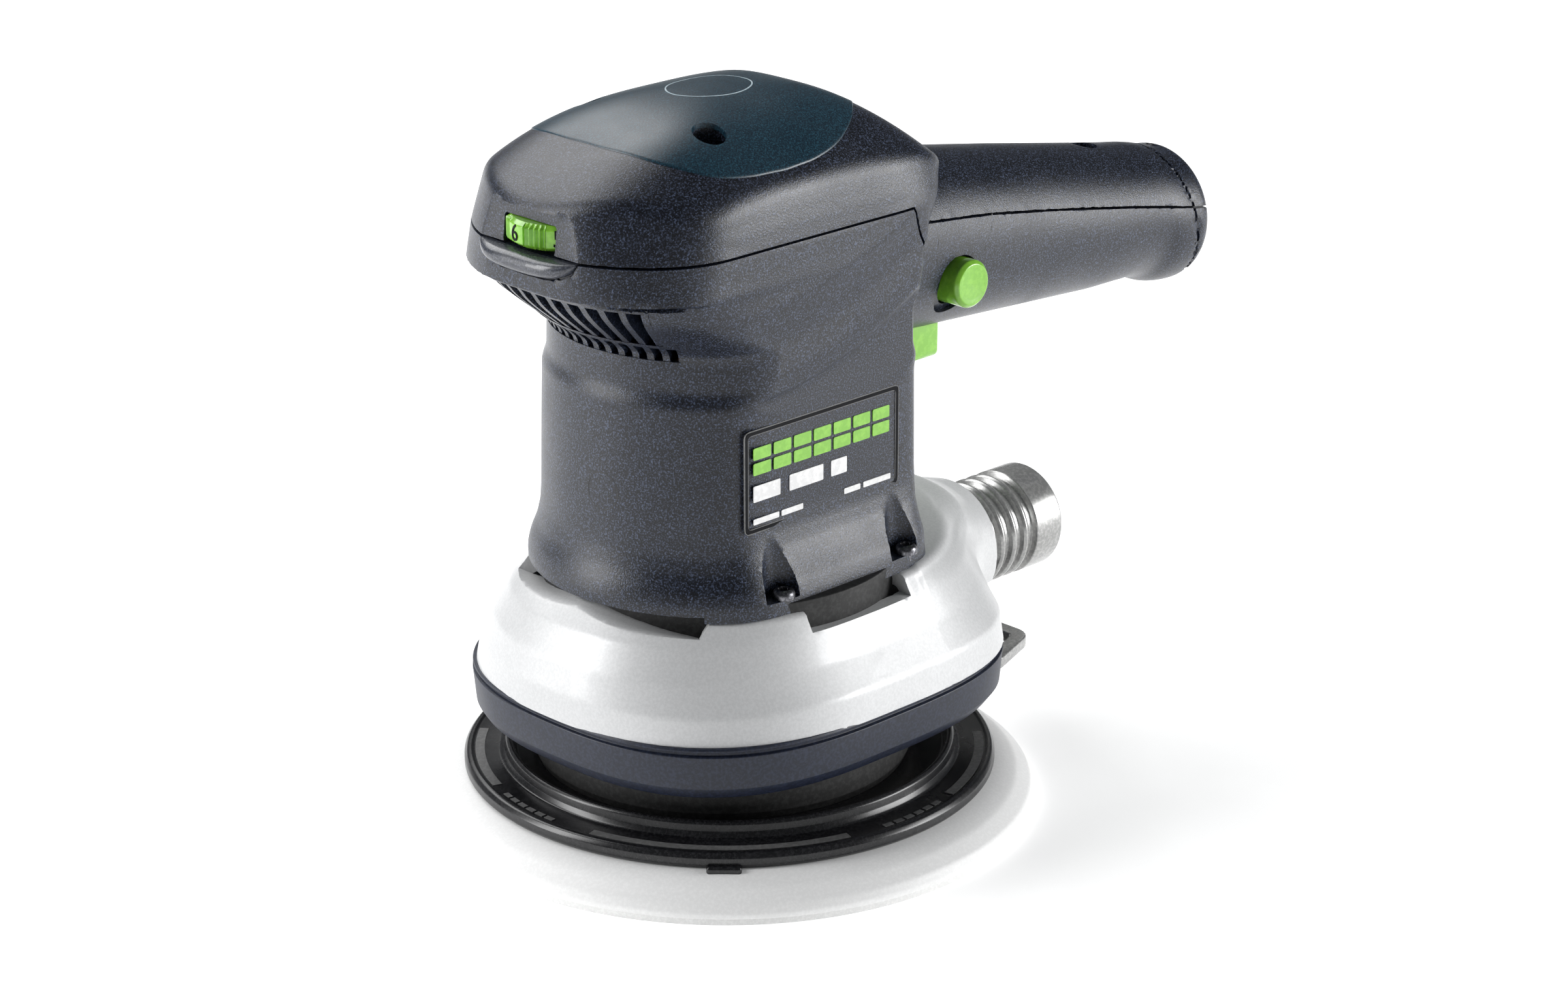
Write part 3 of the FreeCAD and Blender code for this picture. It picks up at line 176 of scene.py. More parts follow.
def contour(field, low, high, cell, blocks_of=8):
    """Points and quads of the surface where a field is zero, with its sharp edges kept."""
    low = np.array(low, float)
    size = cell * blocks_of
    counts = np.ceil((np.array(high, float) - low) / size).astype(int)
    index = np.stack(np.meshgrid(*[np.arange(n) for n in counts], indexing="ij"), -1).reshape(-1, 3)
    middle = low + (index + 0.5) * size
    index = index[np.abs(field(*middle.T)) < 0.5 * math.sqrt(3) * size * 1.4]
    steps = np.arange(blocks_of + 1)
    local = np.stack(np.meshgrid(steps, steps, steps, indexing="ij"), -1)
    sample = index[:, None, None, None] * blocks_of + local
    value = field(*(low + sample.reshape(-1, 3) * cell).T).reshape(sample.shape[:-1])
    first = (slice(0, -1),) * 3
    stride = counts * blocks_of + 3
    points, normals, keys, flips = [], [], [], []
    for axis in range(3):
        other = [slice(0, -1)] * 3
        other[axis] = slice(1, None)
        here, there = value[(slice(None), *first)], value[(slice(None), *other)]
        crossing = np.nonzero((here < 0) != (there < 0))
        start = sample[(slice(None), *first)][crossing]
        a, b = here[crossing], there[crossing]
        point = low + start * cell
        point[:, axis] += a / (a - b) * cell
        slope = (b - a) / cell
        point[:, axis] -= np.clip(field(*point.T) / slope, -0.3 * cell, 0.3 * cell)
        reach = 0.06
        normal = np.stack([
            field(*(point + reach * np.eye(3)[i]).T) - field(*(point - reach * np.eye(3)[i]).T) for i in range(3)
        ], -1)
        normal /= np.linalg.norm(normal, axis=1, keepdims=True) + 1e-12
        u, v = np.eye(3, dtype=int)[(axis + 1) % 3], np.eye(3, dtype=int)[(axis + 2) % 3]
        around = np.stack([start, start - u, start - u - v, start - v], 1) + 1
        keys.append((around[..., 0] * stride[1] + around[..., 1]) * stride[2] + around[..., 2])
        flips.append(a > 0)
        points.append(point)
        normals.append(normal)
    points, normals = np.concatenate(points), np.concatenate(normals)
    keys, flips = np.concatenate(keys), np.concatenate(flips)
    cells, owner = np.unique(keys.ravel(), return_inverse=True)
    owner = owner.ravel()

    def gathered(values):
        return np.bincount(owner, np.repeat(values, 4), len(cells))

    count = np.bincount(owner, minlength=len(cells)).astype(float)
    mass = np.stack([gathered(points[:, i]) for i in range(3)], -1) / count[:, None]
    offset = (normals * points).sum(1)
    matrix = np.empty((len(cells), 3, 3))
    for i in range(3):
        for j in range(3):
            matrix[:, i, j] = gathered(normals[:, i] * normals[:, j])
    target = np.stack([gathered(normals[:, i] * offset) for i in range(3)], -1)
    target -= np.einsum("nij,nj->ni", matrix, mass)
    matrix += np.eye(3) * (0.04 * count)[:, None, None]
    shift = np.linalg.solve(matrix, target[..., None])[..., 0]
    length = np.linalg.norm(shift, axis=1, keepdims=True)
    shift *= np.minimum(1, 0.9 * cell / (length + 1e-9))
    quads = owner.reshape(-1, 4)
    quads = np.where(flips[:, None], quads[:, ::-1], quads)
    return mass + shift, quads


def finished(obj, slot, body, replaced=(), look=None, sharp=35):
    """The last steps that every piece shares. Its look is its slot's, unless another is named."""
    mesh = obj.data
    if obj.type == "MESH":
        mesh.shade_smooth()
        if sharp:
            mesh.set_sharp_from_angle(angle=math.radians(sharp))
    mesh.materials.clear()
    mesh.materials.append(LOOKS[look or slot])
    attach(obj, body)
    if replaced:
        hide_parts(*replaced)


def new_object(name, vertices, faces):
    """A mesh object from points in millimetres."""
    mesh = bpy.data.meshes.new(name)
    vertices = np.asarray(vertices, float) * MM
    if isinstance(faces, np.ndarray):
        mesh.vertices.add(len(vertices))
        mesh.vertices.foreach_set("co", vertices.ravel())
        mesh.loops.add(faces.size)
        mesh.loops.foreach_set("vertex_index", faces.ravel().astype(np.int32))
        mesh.polygons.add(len(faces))
        mesh.polygons.foreach_set("loop_start", (np.arange(len(faces)) * faces.shape[1]).astype(np.int32))
        mesh.update(calc_edges=True)
    else:
        mesh.from_pydata(vertices.tolist(), [], faces)
    mesh.validate()
    obj = bpy.data.objects.new(name, mesh)
    bpy.context.collection.objects.link(obj)
    return obj


def carved(name, field, low, high, cell):
    """A mesh object of a field's surface."""
    points, quads = contour(field, low, high, cell)
    return new_object(name, points, quads)


def grid_faces(rings, columns, closed_rings=False, closed_columns=True):
    """Quads of a net of points, ring after ring."""
    faces = []
    for i in range(rings if closed_rings else rings - 1):
        for j in range(columns if closed_columns else columns - 1):
            a, b = i * columns + j, i * columns + (j + 1) % columns
            c, d = ((i + 1) % rings) * columns + (j + 1) % columns, ((i + 1) % rings) * columns + j
            faces.append((a, b, c, d))
    return faces


def caps(rings, columns):
    """The two end faces of a net of points."""
    return [tuple(range(columns)), tuple(range((rings - 1) * columns, rings * columns))[::-1]]


def solid(name, vertices, faces):
    """A closed mesh object with its faces turned outward."""
    obj = new_object(name, vertices, faces)
    face_outward(obj)
    return obj


def rounded(points, radius, steps=4, closed=True):
    """A profile with its corners turned into arcs. A third number on a point is its own radius."""
    result = []
    count = len(points)
    for i, point in enumerate(points):
        if not closed and i in (0, count - 1):
            result.append(tuple(point[:2]))
            continue
        here = Vector(point[:2])
        before, after = Vector(points[i - 1][:2]), Vector(points[(i + 1) % count][:2])
        r = point[2] if len(point) > 2 else radius
        into, out = (here - before).normalized(), (after - here).normalized()
        turn = into.angle(out)
        if r <= 0 or turn < 0.05:
            result.append(tuple(here))
            continue
        back = min(r * math.tan(turn / 2), 0.48 * (here - before).length, 0.48 * (after - here).length)
        start, end = here - into * back, here + out * back
        for k in range(steps + 1):
            t = k / steps
            result.append(tuple(start * (1 - t) ** 2 + here * 2 * t * (1 - t) + end * t ** 2))
    return result


def lathe(name, profile, centre=(0, 0), count=160, wobble=None, axis="Z", closed=True):
    """A closed (radius, height) profile turned about an upright axis, or about X."""
    vertices = []
    for radius, height in profile:
        for k in range(count):
            angle = 2 * math.pi * k / count
            r = radius + (wobble(radius, height, angle) if wobble else 0)
            if axis == "Z":
                vertices.append((centre[0] + r * math.cos(angle), centre[1] + r * math.sin(angle), height))
            else:
                vertices.append((height, centre[0] + r * math.cos(angle), centre[1] + r * math.sin(angle)))
    return solid(name, vertices, grid_faces(len(profile), count, closed_rings=closed))


def face_outward(obj):
    work = bmesh.new()
    work.from_mesh(obj.data)
    bmesh.ops.remove_doubles(work, verts=work.verts, dist=1e-7)
    bmesh.ops.recalc_face_normals(work, faces=work.faces)
    work.to_mesh(obj.data)
    work.free()


def bevelled_box(name, low, high, radius, segments=3):
    """A box with round edges."""
    work = bmesh.new()
    bmesh.ops.create_cube(work, size=1)
    low, high = Vector(low), Vector(high)
    for vertex in work.verts:
        vertex.co = Vector((low + high) / 2) + Vector(a * b for a, b in zip(vertex.co, high - low))
    bmesh.ops.bevel(work, geom=work.edges[:], offset=radius, segments=segments, affect="EDGES", profile=0.5)
    for vertex in work.verts:
        vertex.co *= MM
    mesh = bpy.data.meshes.new(name)
    work.to_mesh(mesh)
    work.free()
    obj = bpy.data.objects.new(name, mesh)
    bpy.context.collection.objects.link(obj)
    return obj


def joined(name, objects):
    """One object from several."""
    work = bmesh.new()
    for obj in objects:
        obj.data.transform(obj.matrix_world)
        work.from_mesh(obj.data)
    mesh = bpy.data.meshes.new(name)
    work.to_mesh(mesh)
    work.free()
    for obj in objects:
        bpy.data.objects.remove(obj)
    result = bpy.data.objects.new(name, mesh)
    bpy.context.collection.objects.link(result)
    return result


# ---- the body's outer skin

HEAD_ROWS = [
    # height, circle, front, rear, side, front power, rear power
    (63.5, 46.4, 90, 37.4, 40.4, 20, 12),
    (67, 46.5, 90, 36.8, 40, 20, 12),
    (70, 45.8, 90, 36.2, 39.1, 20, 14),
    (74, 44.2, 90, 35.6, 37, 20, 16),
    (78, 43.3, 90, 35.1, 35.2, 20, 18),
    (82, 43, 90, 35, 34.3, 20, 20),
    (86, 42.9, 90, 35, 34, 20, 20),
    (110, 42.2, 90, 35, 34, 20, 20),
    (113.8, 42.1, 90, 35, 35, 20, 20),
    (117, 41, 90, 35, 36.5, 16, 16),
    (124.8, 40.8, 90, 35.5, 37.5, 12, 14),
    (126.4, 41.4, 80, 35.8, 37.6, 12, 12),
    (131.3, 47.4, 66, 36, 37.6, 12, 10),
    (136, 53.4, 63, 36.5, 37.6, 11, 9),
    (139.8, 58.6, 61.5, 37, 37.6, 9, 8),
    (142.6, 66, 60.6, 37.4, 37.6, 8, 8),
    (146, 500, 60.6, 39, 37.5, 7, 7),
    (151.5, 500, 60.8, 42, 37.4, 7, 7),
    (156, 500, 60.3, 46, 37, 7, 5),
    (160, 500, 59.7, 50, 36.4, 7, 4),
    (168, 500, 58, 54, 34.8, 7, 4),
    (182, 500, 52, 54, 32, 7, 4),
]
HANDLE_ROWS = [
    (18, 133.4, 25, 22, 2.6), (45, 131.2, 22, 22.2, 2.4), (62, 129.8, 20.4, 22.6, 2.2), (95, 125.8, 18.6, 21, 2.1),
    (125, 122.1, 18, 19.3, 2), (140, 120.7, 17.6, 18, 2), (145.5, 120.0, 17.6, 17.9, 2), (150, 118.3, 18.1, 18.6, 2),
    (155, 117.2, 18.2, 18.3, 2), (163, 116.9, 17.9, 18, 2),
]
CHAMFER_ROWS = [
    # height, distance of the slanted front corners from the axis, measured square to them
    (126, 66), (131, 61), (135.6, 60), (139.6, 59.8), (145, 59.2), (151.4, 57.9), (156.4, 56.4), (160.9, 55.1),
    (166.2, 53.6), (182, 48.4),
]
SEAM_ROWS = [(-90, 151.5), (27, 151.5), (35.6, 135.3), (40.7, 138.9), (47.5, 140.2), (74, 136.8), (100, 132.4),
             (130, 127), (158, 121.5), (190, 115.2)]
CROWN = 179.2
CROWN_X = -3
CROWN_ACROSS = 0.0108
CROWN_ALONG = 0.0048
CROWN_POWER = 3.2
FLAT_SIDE = 34
HANDLE_END = 161
BASE_BOTTOM = 63.5

head_outline = Outline(HEAD_ROWS, 1.6, rear_corner=6)
handle_tube = Tube(HANDLE_ROWS)
seam_line = Curve(SEAM_ROWS, 0.8)
chamfer_line = Curve(CHAMFER_ROWS, 1.2)


def crown_drop(x, y):
    """How far the crown has fallen from its top, over a boxy plan."""
    along, across = math.sqrt(CROWN_ALONG) * np.abs(x - CROWN_X), math.sqrt(CROWN_ACROSS) * np.abs(y)
    drop = (along ** CROWN_POWER + across ** CROWN_POWER) ** (2 / CROWN_POWER)
    return drop * (0.72 + 0.028 * np.minimum(drop, 40))


def crown_height(x, y):
    return CROWN - crown_drop(x, y)


def side_reach(x, z):
    """Half width of the motor body's flat side: flat below, a step and a ridge, then the head's overhang."""
    lift = 0.0056 * np.clip(x + 22, 0, None) ** 2
    above = z - 113.5 - lift
    step = 1.1 * smooth_step(above, 0, 2.8)
    ridge = 0.35 * smooth_step(above, 3, 7)
    overhang = 3.0 * smooth_step(above, 13, 31)
    return FLAT_SIDE + step + ridge + overhang


def smooth_step(value, low, high):
    t = np.clip((value - low) / (high - low), 0, 1)
    return t * t * (3 - 2 * t)


def head(x, y, z):
    """Distance to the head and motor body, without the handle."""
    slanted = 0.77 * -x + 0.64 * np.abs(y) - chamfer_line(z)[0]
    wall = soft_max(head_outline(x, y, z), slanted, 9)
    flank = np.where((z > 100) & (z < 155), np.abs(y) - side_reach(x, z), wall)
    wall = np.maximum(wall, flank * 0.97)
    lean = np.sqrt(1 + 0.032 * crown_drop(x, y))
    dome = (z - crown_height(x, y)) / lean
    shoulder = (z + 0.95 * x - 202) / 1.38
    top = soft_max(dome, shoulder, 7.0)
    whole = soft_max(top, wall, 1.5)
    return np.maximum(whole, BASE_BOTTOM - z)


def skin(x, y, z):
    """Distance to the outer skin of the head, motor body and handle together."""
    grip = handle_tube(x, y, z)
    grip = soft_max(grip, x - HANDLE_END, 4.0)
    grip = np.maximum(grip, 20 - x)
    return soft_min(head(x, y, z), grip, 11.0)


def seam(x, z):
    """Height above the seam between the two shells, as a distance."""
    height = seam_line(x)[0]
    slope = seam_line(x + 0.5)[0] - seam_line(x - 0.5)[0]
    return (z - height) / np.sqrt(1 + slope ** 2)


# ---- places shared by several pieces

INLAY_POINTS = [(-41.3, 0), (-41, 11), (-39, 20), (-35, 26), (-29.5, 30.2), (-23, 32), (-15, 32.7), (-6, 32.7),
                (2, 32), (14, 28), (24, 20), (32, 10), (35, 0)]
COVER_SCREWS = [(-22, 20), (-22, -20)]
BASE_SCREWS = [(-16.2, 37.9), (24.8, 37.9), (-16.2, -37.9), (24.8, -37.9)]
POCKETS = [(-17.5, 39.2), (23.1, 39.2)]
POCKET_RADIUS = 4.9
HANDLE_SCREW = (128.8, 0)
DIAL = (np.sum(node_box("speed_dial"), axis=0) / 2)[:2]
DIAL_RADIUS = 13
LOCK = (62, 122.6)
BUTTON_HOLE = 6.5
SCOOP = 7.6
GRIP_RING = (150.6, 136.6, 0.22)
TRIGGER_LOW, TRIGGER_HIGH = node_box("trigger_lever")
INLET_HEIGHT = 117
INLET_START = 135.5
INLET_RADIUS = 13.7
SLOTS = 13
LOWER_ROW = (124.6, 128.6)
UPPER_ROW = (129.6, 140.4)
UPPER_ROW_ANGLE = 30.2
FRONT_FOOT = 65
STEP_ANGLE = 41.5
FAR = 30  # limit on angle fields, well past any distance that matters
LIP_LOW, LIP_TOP = 146.8, 151.35
LIP_HALF = 15.9
RECESS_FLOOR = 151.6
MARK = (-42, -5, 91.4)
MARK_RADIUS = 4.5
SLOT_PITCH = 5.3


def inlay_outline(x, y):
    """Distance in plan from the inlay's edge, below zero inside."""
    points = np.array(INLAY_POINTS, float)
    angle = np.arctan2(points[:, 1], points[:, 0] - CROWN_X)
    radius = np.hypot(points[:, 0] - CROWN_X, points[:, 1])
    order = np.argsort(angle)
    fine = np.linspace(0, math.pi, 181)
    mirrored = np.concatenate([-angle[order][::-1], angle[order], 2 * math.pi - angle[order][::-1]])
    doubled = np.concatenate([radius[order][::-1], radius[order], radius[order][::-1]])
    smooth = np.mean([np.interp(fine + d, mirrored, doubled) for d in np.linspace(-0.07, 0.07, 15)], axis=0)
    bearing = np.abs(np.arctan2(y, x - CROWN_X))
    return np.hypot(x - CROWN_X, y) - np.interp(bearing, fine, smooth)


def front_angle(x, y):
    """Degrees round from straight ahead."""
    return np.degrees(np.arctan2(np.abs(y), -x))


def hollow(distance, wall=WALL):
    return np.abs(distance + wall / 2) - wall / 2


def on_skin(point, along):
    """Where a straight line from outside first meets the outer skin."""
    steps = np.arange(0, 60, 0.05)
    track = np.array(point, float)[:, None] + np.array(along, float)[:, None] * steps
    return track[:, np.argmax(skin(*track) < 0)]


def skin_strip(name, path, along, width, lift=0.06):
    """A thin strip lying on the outer skin; the path is pushed onto it along one direction."""
    spots = [on_skin(point, along) for point in path]
    vertices = []
    for i, spot in enumerate(spots):
        tangent = spots[min(i + 1, len(spots) - 1)] - spots[max(i - 1, 0)]
        normal = np.array([skin(*(spot + 0.1 * axis)) - skin(*(spot - 0.1 * axis)) for axis in np.eye(3)])
        normal /= np.linalg.norm(normal)
        across = np.cross(normal, tangent / np.linalg.norm(tangent)) * width / 2
        vertices += [spot - across - normal * 0.2, spot + across - normal * 0.2, spot + across + normal * lift,
                     spot - across + normal * lift]
    return solid(name, vertices, grid_faces(len(spots), 4) + caps(len(spots), 4))


# ---- shells

def common_cuts(shell, outer, x, y, z):
    """Openings and grooves that both halves of the housing share."""
    near_side = y + 8
    shell = cut(shell, np.hypot(x - LOCK[0], z - LOCK[1]) - BUTTON_HOLE, near_side)
    scoop = np.hypot(x - LOCK[0] + 1.3, z - LOCK[1] + 0.8) - SCOOP
    shell = cut(shell, scoop, -(outer + 1.3), near_side)
    shell = cut(shell, np.hypot(y, z - INLET_HEIGHT) - INLET_RADIUS, INLET_START - x)
    ring_x, ring_z, ring_lean = GRIP_RING
    ring = np.abs(x - ring_x - (ring_z - z) * ring_lean) - 0.5
    return cut(shell, ring, -(outer + 0.7))


def lip_edge(share):
    """Height of the thumb lip's lower edge, from its middle at 0 to its ends at 1."""
    return LIP_LOW + 1.3 * share ** 2 + 2.7 * share ** 8


def ahead_of_step(angle):
    """Below zero in front of the steps where the fan housing rises to the motor body."""
    return np.clip((angle - STEP_ANGLE) * 0.8, -FAR, FAR)


def make_lower_shell():
    def field(x, y, z):
        outer = skin(x, y, z)
        across = np.abs(y)
        shell = add(hollow(outer), outer, block(x, y, z, (-64, -20, 144), (-54, 20, 151.2), 1))
        nest = soft_max(lip_edge(across / LIP_HALF) - 0.55 - z, across - LIP_HALF - 0.5, 0.5)
        shell = cut(shell, nest, -(outer + 0.9))
        for place in BASE_SCREWS:
            shell = add(shell, upright(x, y, place, 9), outer, z - 86)
        shell = np.maximum(shell, seam(x, z) + SEAM_GAP)
        for place in POCKETS:
            shell = cut(shell, upright(x, across, place, POCKET_RADIUS), 66.9 - z, z - 92)
        angle, reach = front_angle(x, y), np.hypot(x, y)
        shell = cut(shell, z - FRONT_FOOT, ahead_of_step(angle))
        lower_row = both(LOWER_ROW[0] - z, z - LOWER_ROW[1], 34 - reach)
        upper_row = both(UPPER_ROW[0] - z, z - UPPER_ROW[1], 38 - reach, (angle - UPPER_ROW_ANGLE) * 0.75)
        shell = cut(shell, np.minimum(lower_row, upper_row), (angle - (SLOTS * SLOT_PITCH / 2 - 0.6)) * 0.75)
        shell = cut(shell, block(x, y, z, (38.5, -7.6, 90), (72, 7.6, 116), 1.5))
        return common_cuts(shell, outer, x, y, z)

    shell = carved("motor_housing_shell", field, (-65, -45, 60), (165, 45, 154), 0.95)
    finished(shell, "housing_plastic", "housing", ["motor_housing"])


def make_lip():
    """The rounded thumb lip under the speed dial."""
    columns, vertices = 48, []
    turns = np.linspace(math.pi / 2, -math.pi / 2, 13)
    for share in np.linspace(-1, 1, columns):
        y, low, high = LIP_HALF * share, lip_edge(share), LIP_TOP
        front = on_skin((-80, y, 149), (1, 0, 0))[0]
        bulge = 2.2 * (1 - share ** 6) + 0.3
        for turn in turns:
            x = front + 0.5 - (bulge + 0.5) * abs(math.cos(turn)) ** 0.75
            vertices.append((x, y, (low + high) / 2 + (high - low) / 2 * math.sin(turn)))
        vertices += [(front + 1.8, y, low), (front + 1.8, y, high)]
    count = len(turns) + 2
    lip = solid("thumb_lip", vertices, grid_faces(columns, count) + caps(columns, count))
    # The lip takes a lighter copy of the housing plastic: painted highlight.
    finished(lip, "housing_plastic", "housing", look="lip_painted_highlight_plastic")


def make_upper_shell():
    def field(x, y, z):
        outer = skin(x, y, z)
        thick = block(x, y, z, (-64, -21, 151.5), (-49, 21, 165), 1)
        shell = add(hollow(outer), outer, -(outer + 7), thick)
        for place in COVER_SCREWS:
            shell = add(shell, upright(x, y, place, 6), outer, 158 - z)
        shell = add(shell, upright(x, y, HANDLE_SCREW, 5.2), outer, 128 - z)
        shell = np.maximum(shell, -seam(x, z) + SEAM_GAP)
        for place in COVER_SCREWS:
            shell = cut(shell, upright(x, y, place, 4.2), 160 - z)
        shell = cut(shell, upright(x, y, HANDLE_SCREW, 3.9), 133 - z)
        recess = soft_max(np.abs(y) - 16.9 + (z - 151.8) * 0.35, z - 161.2, 3.5)
        shell = cut(shell, recess, RECESS_FLOOR - z, x + 58.5 - (z - 152) * 0.12)
        shell = cut(shell, block(x, y, z, (-70, -8.6, RECESS_FLOOR), (-40, 8.8, 158.4), 0.8))
        shell = common_cuts(shell, outer, x, y, z)
        return cut(shell, block(x, y, z, (155, -2, 120), (157.6, 2, 140), 0.4), -(outer + 1))

    shell = carved("upper_cover_shell", field, (-65, -45, 113), (165, 45, 182), 0.85)
    finished(shell, "housing_plastic", "housing", ["upper_cover"])


def skin_height(x, y, low=150.0, high=182.0):
    """Height of the outer skin's top above a point of the plan."""
    low, high = np.full(x.shape, low), np.full(x.shape, high)
    for _ in range(26):
        middle = (low + high) / 2
        below = skin(x, y, middle) < 0
        low, high = np.where(below, middle, low), np.where(below, high, middle)
    return (low + high) / 2


def inlay_radius(bearing):
    """How far the inlay's edge lies from the crown's axis in each direction."""
    reach = np.linspace(20, 45, 501)
    rows = [inlay_outline(CROWN_X + reach * math.cos(b), reach * math.sin(b)) for b in bearing]
    return np.array([np.interp(0, row, reach) for row in rows])


def bored(obj, places, radius, low, high):
    """Round upright holes through a mesh."""
    for place in places:
        rod = lathe("rod", [(0.02, low), (radius, low), (radius, high), (0.02, high)], place, 64)
        cutter = obj.modifiers.new("hole", "BOOLEAN")
        cutter.operation, cutter.solver, cutter.object = "DIFFERENCE", "EXACT", rod
        bpy.context.view_layer.update()
        mesh = bpy.data.meshes.new_from_object(obj.evaluated_get(bpy.context.evaluated_depsgraph_get()))
        obj.modifiers.clear()
        obj.data = mesh
        bpy.data.objects.remove(rod)
    return obj


def make_inlay():
    columns = 160
    bearing = np.linspace(-math.pi, math.pi, columns, endpoint=False)
    edge = inlay_radius(bearing) - 0.15
    vertices = []
    shares = [0.02, *np.linspace(0.08, 0.96, 26), 0.985, 0.996]
    rings = [(share, 0.3) for share in shares] + [(1, 0.12), (1, -0.9)] + [(share, -0.9) for share in shares[::-3]]
    for share, lift in rings:
        x, y = CROWN_X + edge * share * np.cos(bearing), edge * share * np.sin(bearing)
        vertices += list(zip(x, y, skin_height(x, y) + lift))
    plate = solid("cover_inlay_skin", vertices, grid_faces(len(rings), columns) + caps(len(rings), columns))
    bored(plate, COVER_SCREWS, 3.9, 155, 185)
    finished(plate, "inlay_plastic", "housing", ["cover_inlay"], sharp=40)

    count = 96
    vertices = []
    for half_x, half_y, lift in ((10.9, 8.4, 0.1), (10.9, 8.4, 0.4), (11.25, 8.75, 0.4), (11.25, 8.75, 0.1)):
        for k in range(count):
            angle = 2 * math.pi * k / count
            x, y = CROWN_X + half_x * math.cos(angle), half_y * math.sin(angle)
            vertices.append((x, y, crown_height(x, y) + lift - 0.06))
    oval = solid("inlay_oval_line", vertices, grid_faces(4, count, closed_rings=True))
    finished(oval, "label_film", "housing", look="pale_line")


def make_vent_fins():
    """The upright blades between the air slots, following the neck and the flare above it."""
    fins = []
    heights = np.linspace(123, 142, 30)
    half, inner_edge, deepest = 0.85, 4.5, 44
    for k in range(SLOTS + 1):
        angle = math.pi + math.radians((k - SLOTS / 2) * SLOT_PITCH)
        cosine, sine = math.cos(angle), math.sin(angle)
        near, far = np.full(len(heights), 36.0), np.full(len(heights), 66.0)
        for _ in range(20):
            radii = (near + far) / 2
            inside = head(radii * cosine, radii * sine, heights) < 0
            near, far = np.where(inside, radii, near), np.where(inside, far, radii)
        outer = [(r - 0.25, z) for r, z in zip(radii, heights)]
        inner = [(min(r, deepest) - inner_edge, z + (1.2 if r > deepest else 0)) for r, z in zip(radii, heights)]
        loop = outer + inner[::-1]
        vertices = []
        for side in (-half, half):
            for r, z in loop:
                vertices.append((r * cosine - side * sine, r * sine + side * cosine, z))
        count = len(loop)
        faces = [(i, (i + 1) % count, count + (i + 1) % count, count + i) for i in range(count)]
        for i in range(len(heights) - 1):
            a, b, c, d = i, i + 1, count - 2 - i, count - 1 - i
            faces += [(a, b, c, d), (count + d, count + c, count + b, count + a)]
        fins.append(new_object(f"vent_fin_{k}", vertices, faces))
    fins = joined("vent_fins", fins)
    face_outward(fins)
    finished(fins, "housing_plastic", "housing")


def make_panel_lines():
    """Thin joint lines beside the lock button and the round mark on the front of the motor body."""
    left = rounded([(54.2, 138.7), (52.6, 135), (52, 130), (52, 125.4)], 3, 6, closed=False)
    right = rounded([(74.4, 136.8), (73.6, 133.5), (70.5, 129), (68.4, 125)], 3, 6, closed=False)
    strips = [skin_strip(f"panel_line_{k}", [(x, -45, z) for x, z in path], (0, 1, 0), 0.32)
              for k, path in enumerate((left, right))]
    mark = [(-60, MARK[1] + MARK_RADIUS * math.cos(a), MARK[2] + MARK_RADIUS * math.sin(a))
            for a in np.linspace(0, 2 * math.pi, 49)]
    strips.append(skin_strip("round_mark", mark, (1, 0, 0), 0.25))
    finished(joined("panel_lines", strips), "black_plastic", "housing")


# ---- silver fan housing and skirt

FAN_ROWS = [
    # height, front, rear, side, front power, rear power
    (34, 56.2, 66, 55, 2.45, 3.2),
    (37.5, 56.8, 66, 55, 2.45, 3.2),
    (44.8, 56.9, 65.6, 53.6, 2.35, 3.2),
    (52, 54.8, 64, 48.8, 2.4, 3),
    (58.7, 50.8, 60, 45.2, 2.35, 2.8),
    (62, 47.4, 57, 43.6, 2.25, 2.6),
    (66, 44.6, 54, 41.8, 2.2, 2.6),
]
DUCT_ROWS = [
    # along, centre height, half width, half height, power
    (30, 53.4, 34, 14, 3),
    (52, 52, 28, 16, 3),
    (65, 50, 23, 17.4, 2.8),
    (74, 46.4, 18.6, 16.4, 2.4),
    (82, 44.6, 16.4, 16.2, 2),
]
SKIRT_ROWS = [
    (22, 53.8, 62, 52, 2.6, 3.2),
    (25, 54.4, 63, 52.6, 2.6, 3.2),
    (27.5, 56, 65.2, 54.4, 2.6, 3.2),
    (37.5, 56.9, 66, 55.1, 2.6, 3.2),
    (40, 56.9, 66, 55.1, 2.6, 3.2),
]
FAN_TOP = 63.5
FAN_BOTTOM = 37.5
PORT_CENTRE = 44.6
fan_outline = Outline(FAN_ROWS, 0.8, circles=False)
skirt_outline = Outline(SKIRT_ROWS, 1.2, circles=False)
duct_tube = Tube(DUCT_ROWS, 3.0)


def fan_skin(x, y, z):
    body = soft_max(fan_outline(x, y, z), z - FAN_TOP, 1.2)
    duct = np.maximum(duct_tube(x, y, z), np.maximum(x - 81, 30 - x))
    return soft_min(body, duct, 7.0)


def make_fan_housing():
    def field(x, y, z):
        outer = fan_skin(x, y, z)
        reach, angle = np.hypot(x, y), front_angle(x, y)
        share = np.minimum(angle / 40, 1)
        ledge = z - 62.6 + 2.8 * share - (46.5 - reach) * (0.45 - 0.8 * share)
        step = np.clip((angle - STEP_ANGLE - (z - 61.6) * 0.8) * 0.8, -FAR, FAR)
        floor = both(np.abs(ledge + 1.2) - 1.2, step, 43 - reach)
        shell = add(hollow(outer, 3.4), floor, outer)
        shell = cut(shell, -ledge, step, 36 - reach)
        shell = cut(shell, block(x, np.abs(y), z, (-13, 36, 59), (20, 62, 72), 0.3))
        shell = cut(shell, upright(x, y, (0, 0), 40), 52 - z)
        shell = cut(shell, np.hypot(y, z - PORT_CENTRE) - 13.2, 66 - x)
        return np.maximum(shell, FAN_BOTTOM + 0.25 - z)

    shell = carved("fan_housing_shell", field, (-60, -58, 28), (84, 58, 70), 0.9)
    finished(shell, "silver_plastic", "housing", ["fan_housing"], sharp=38)


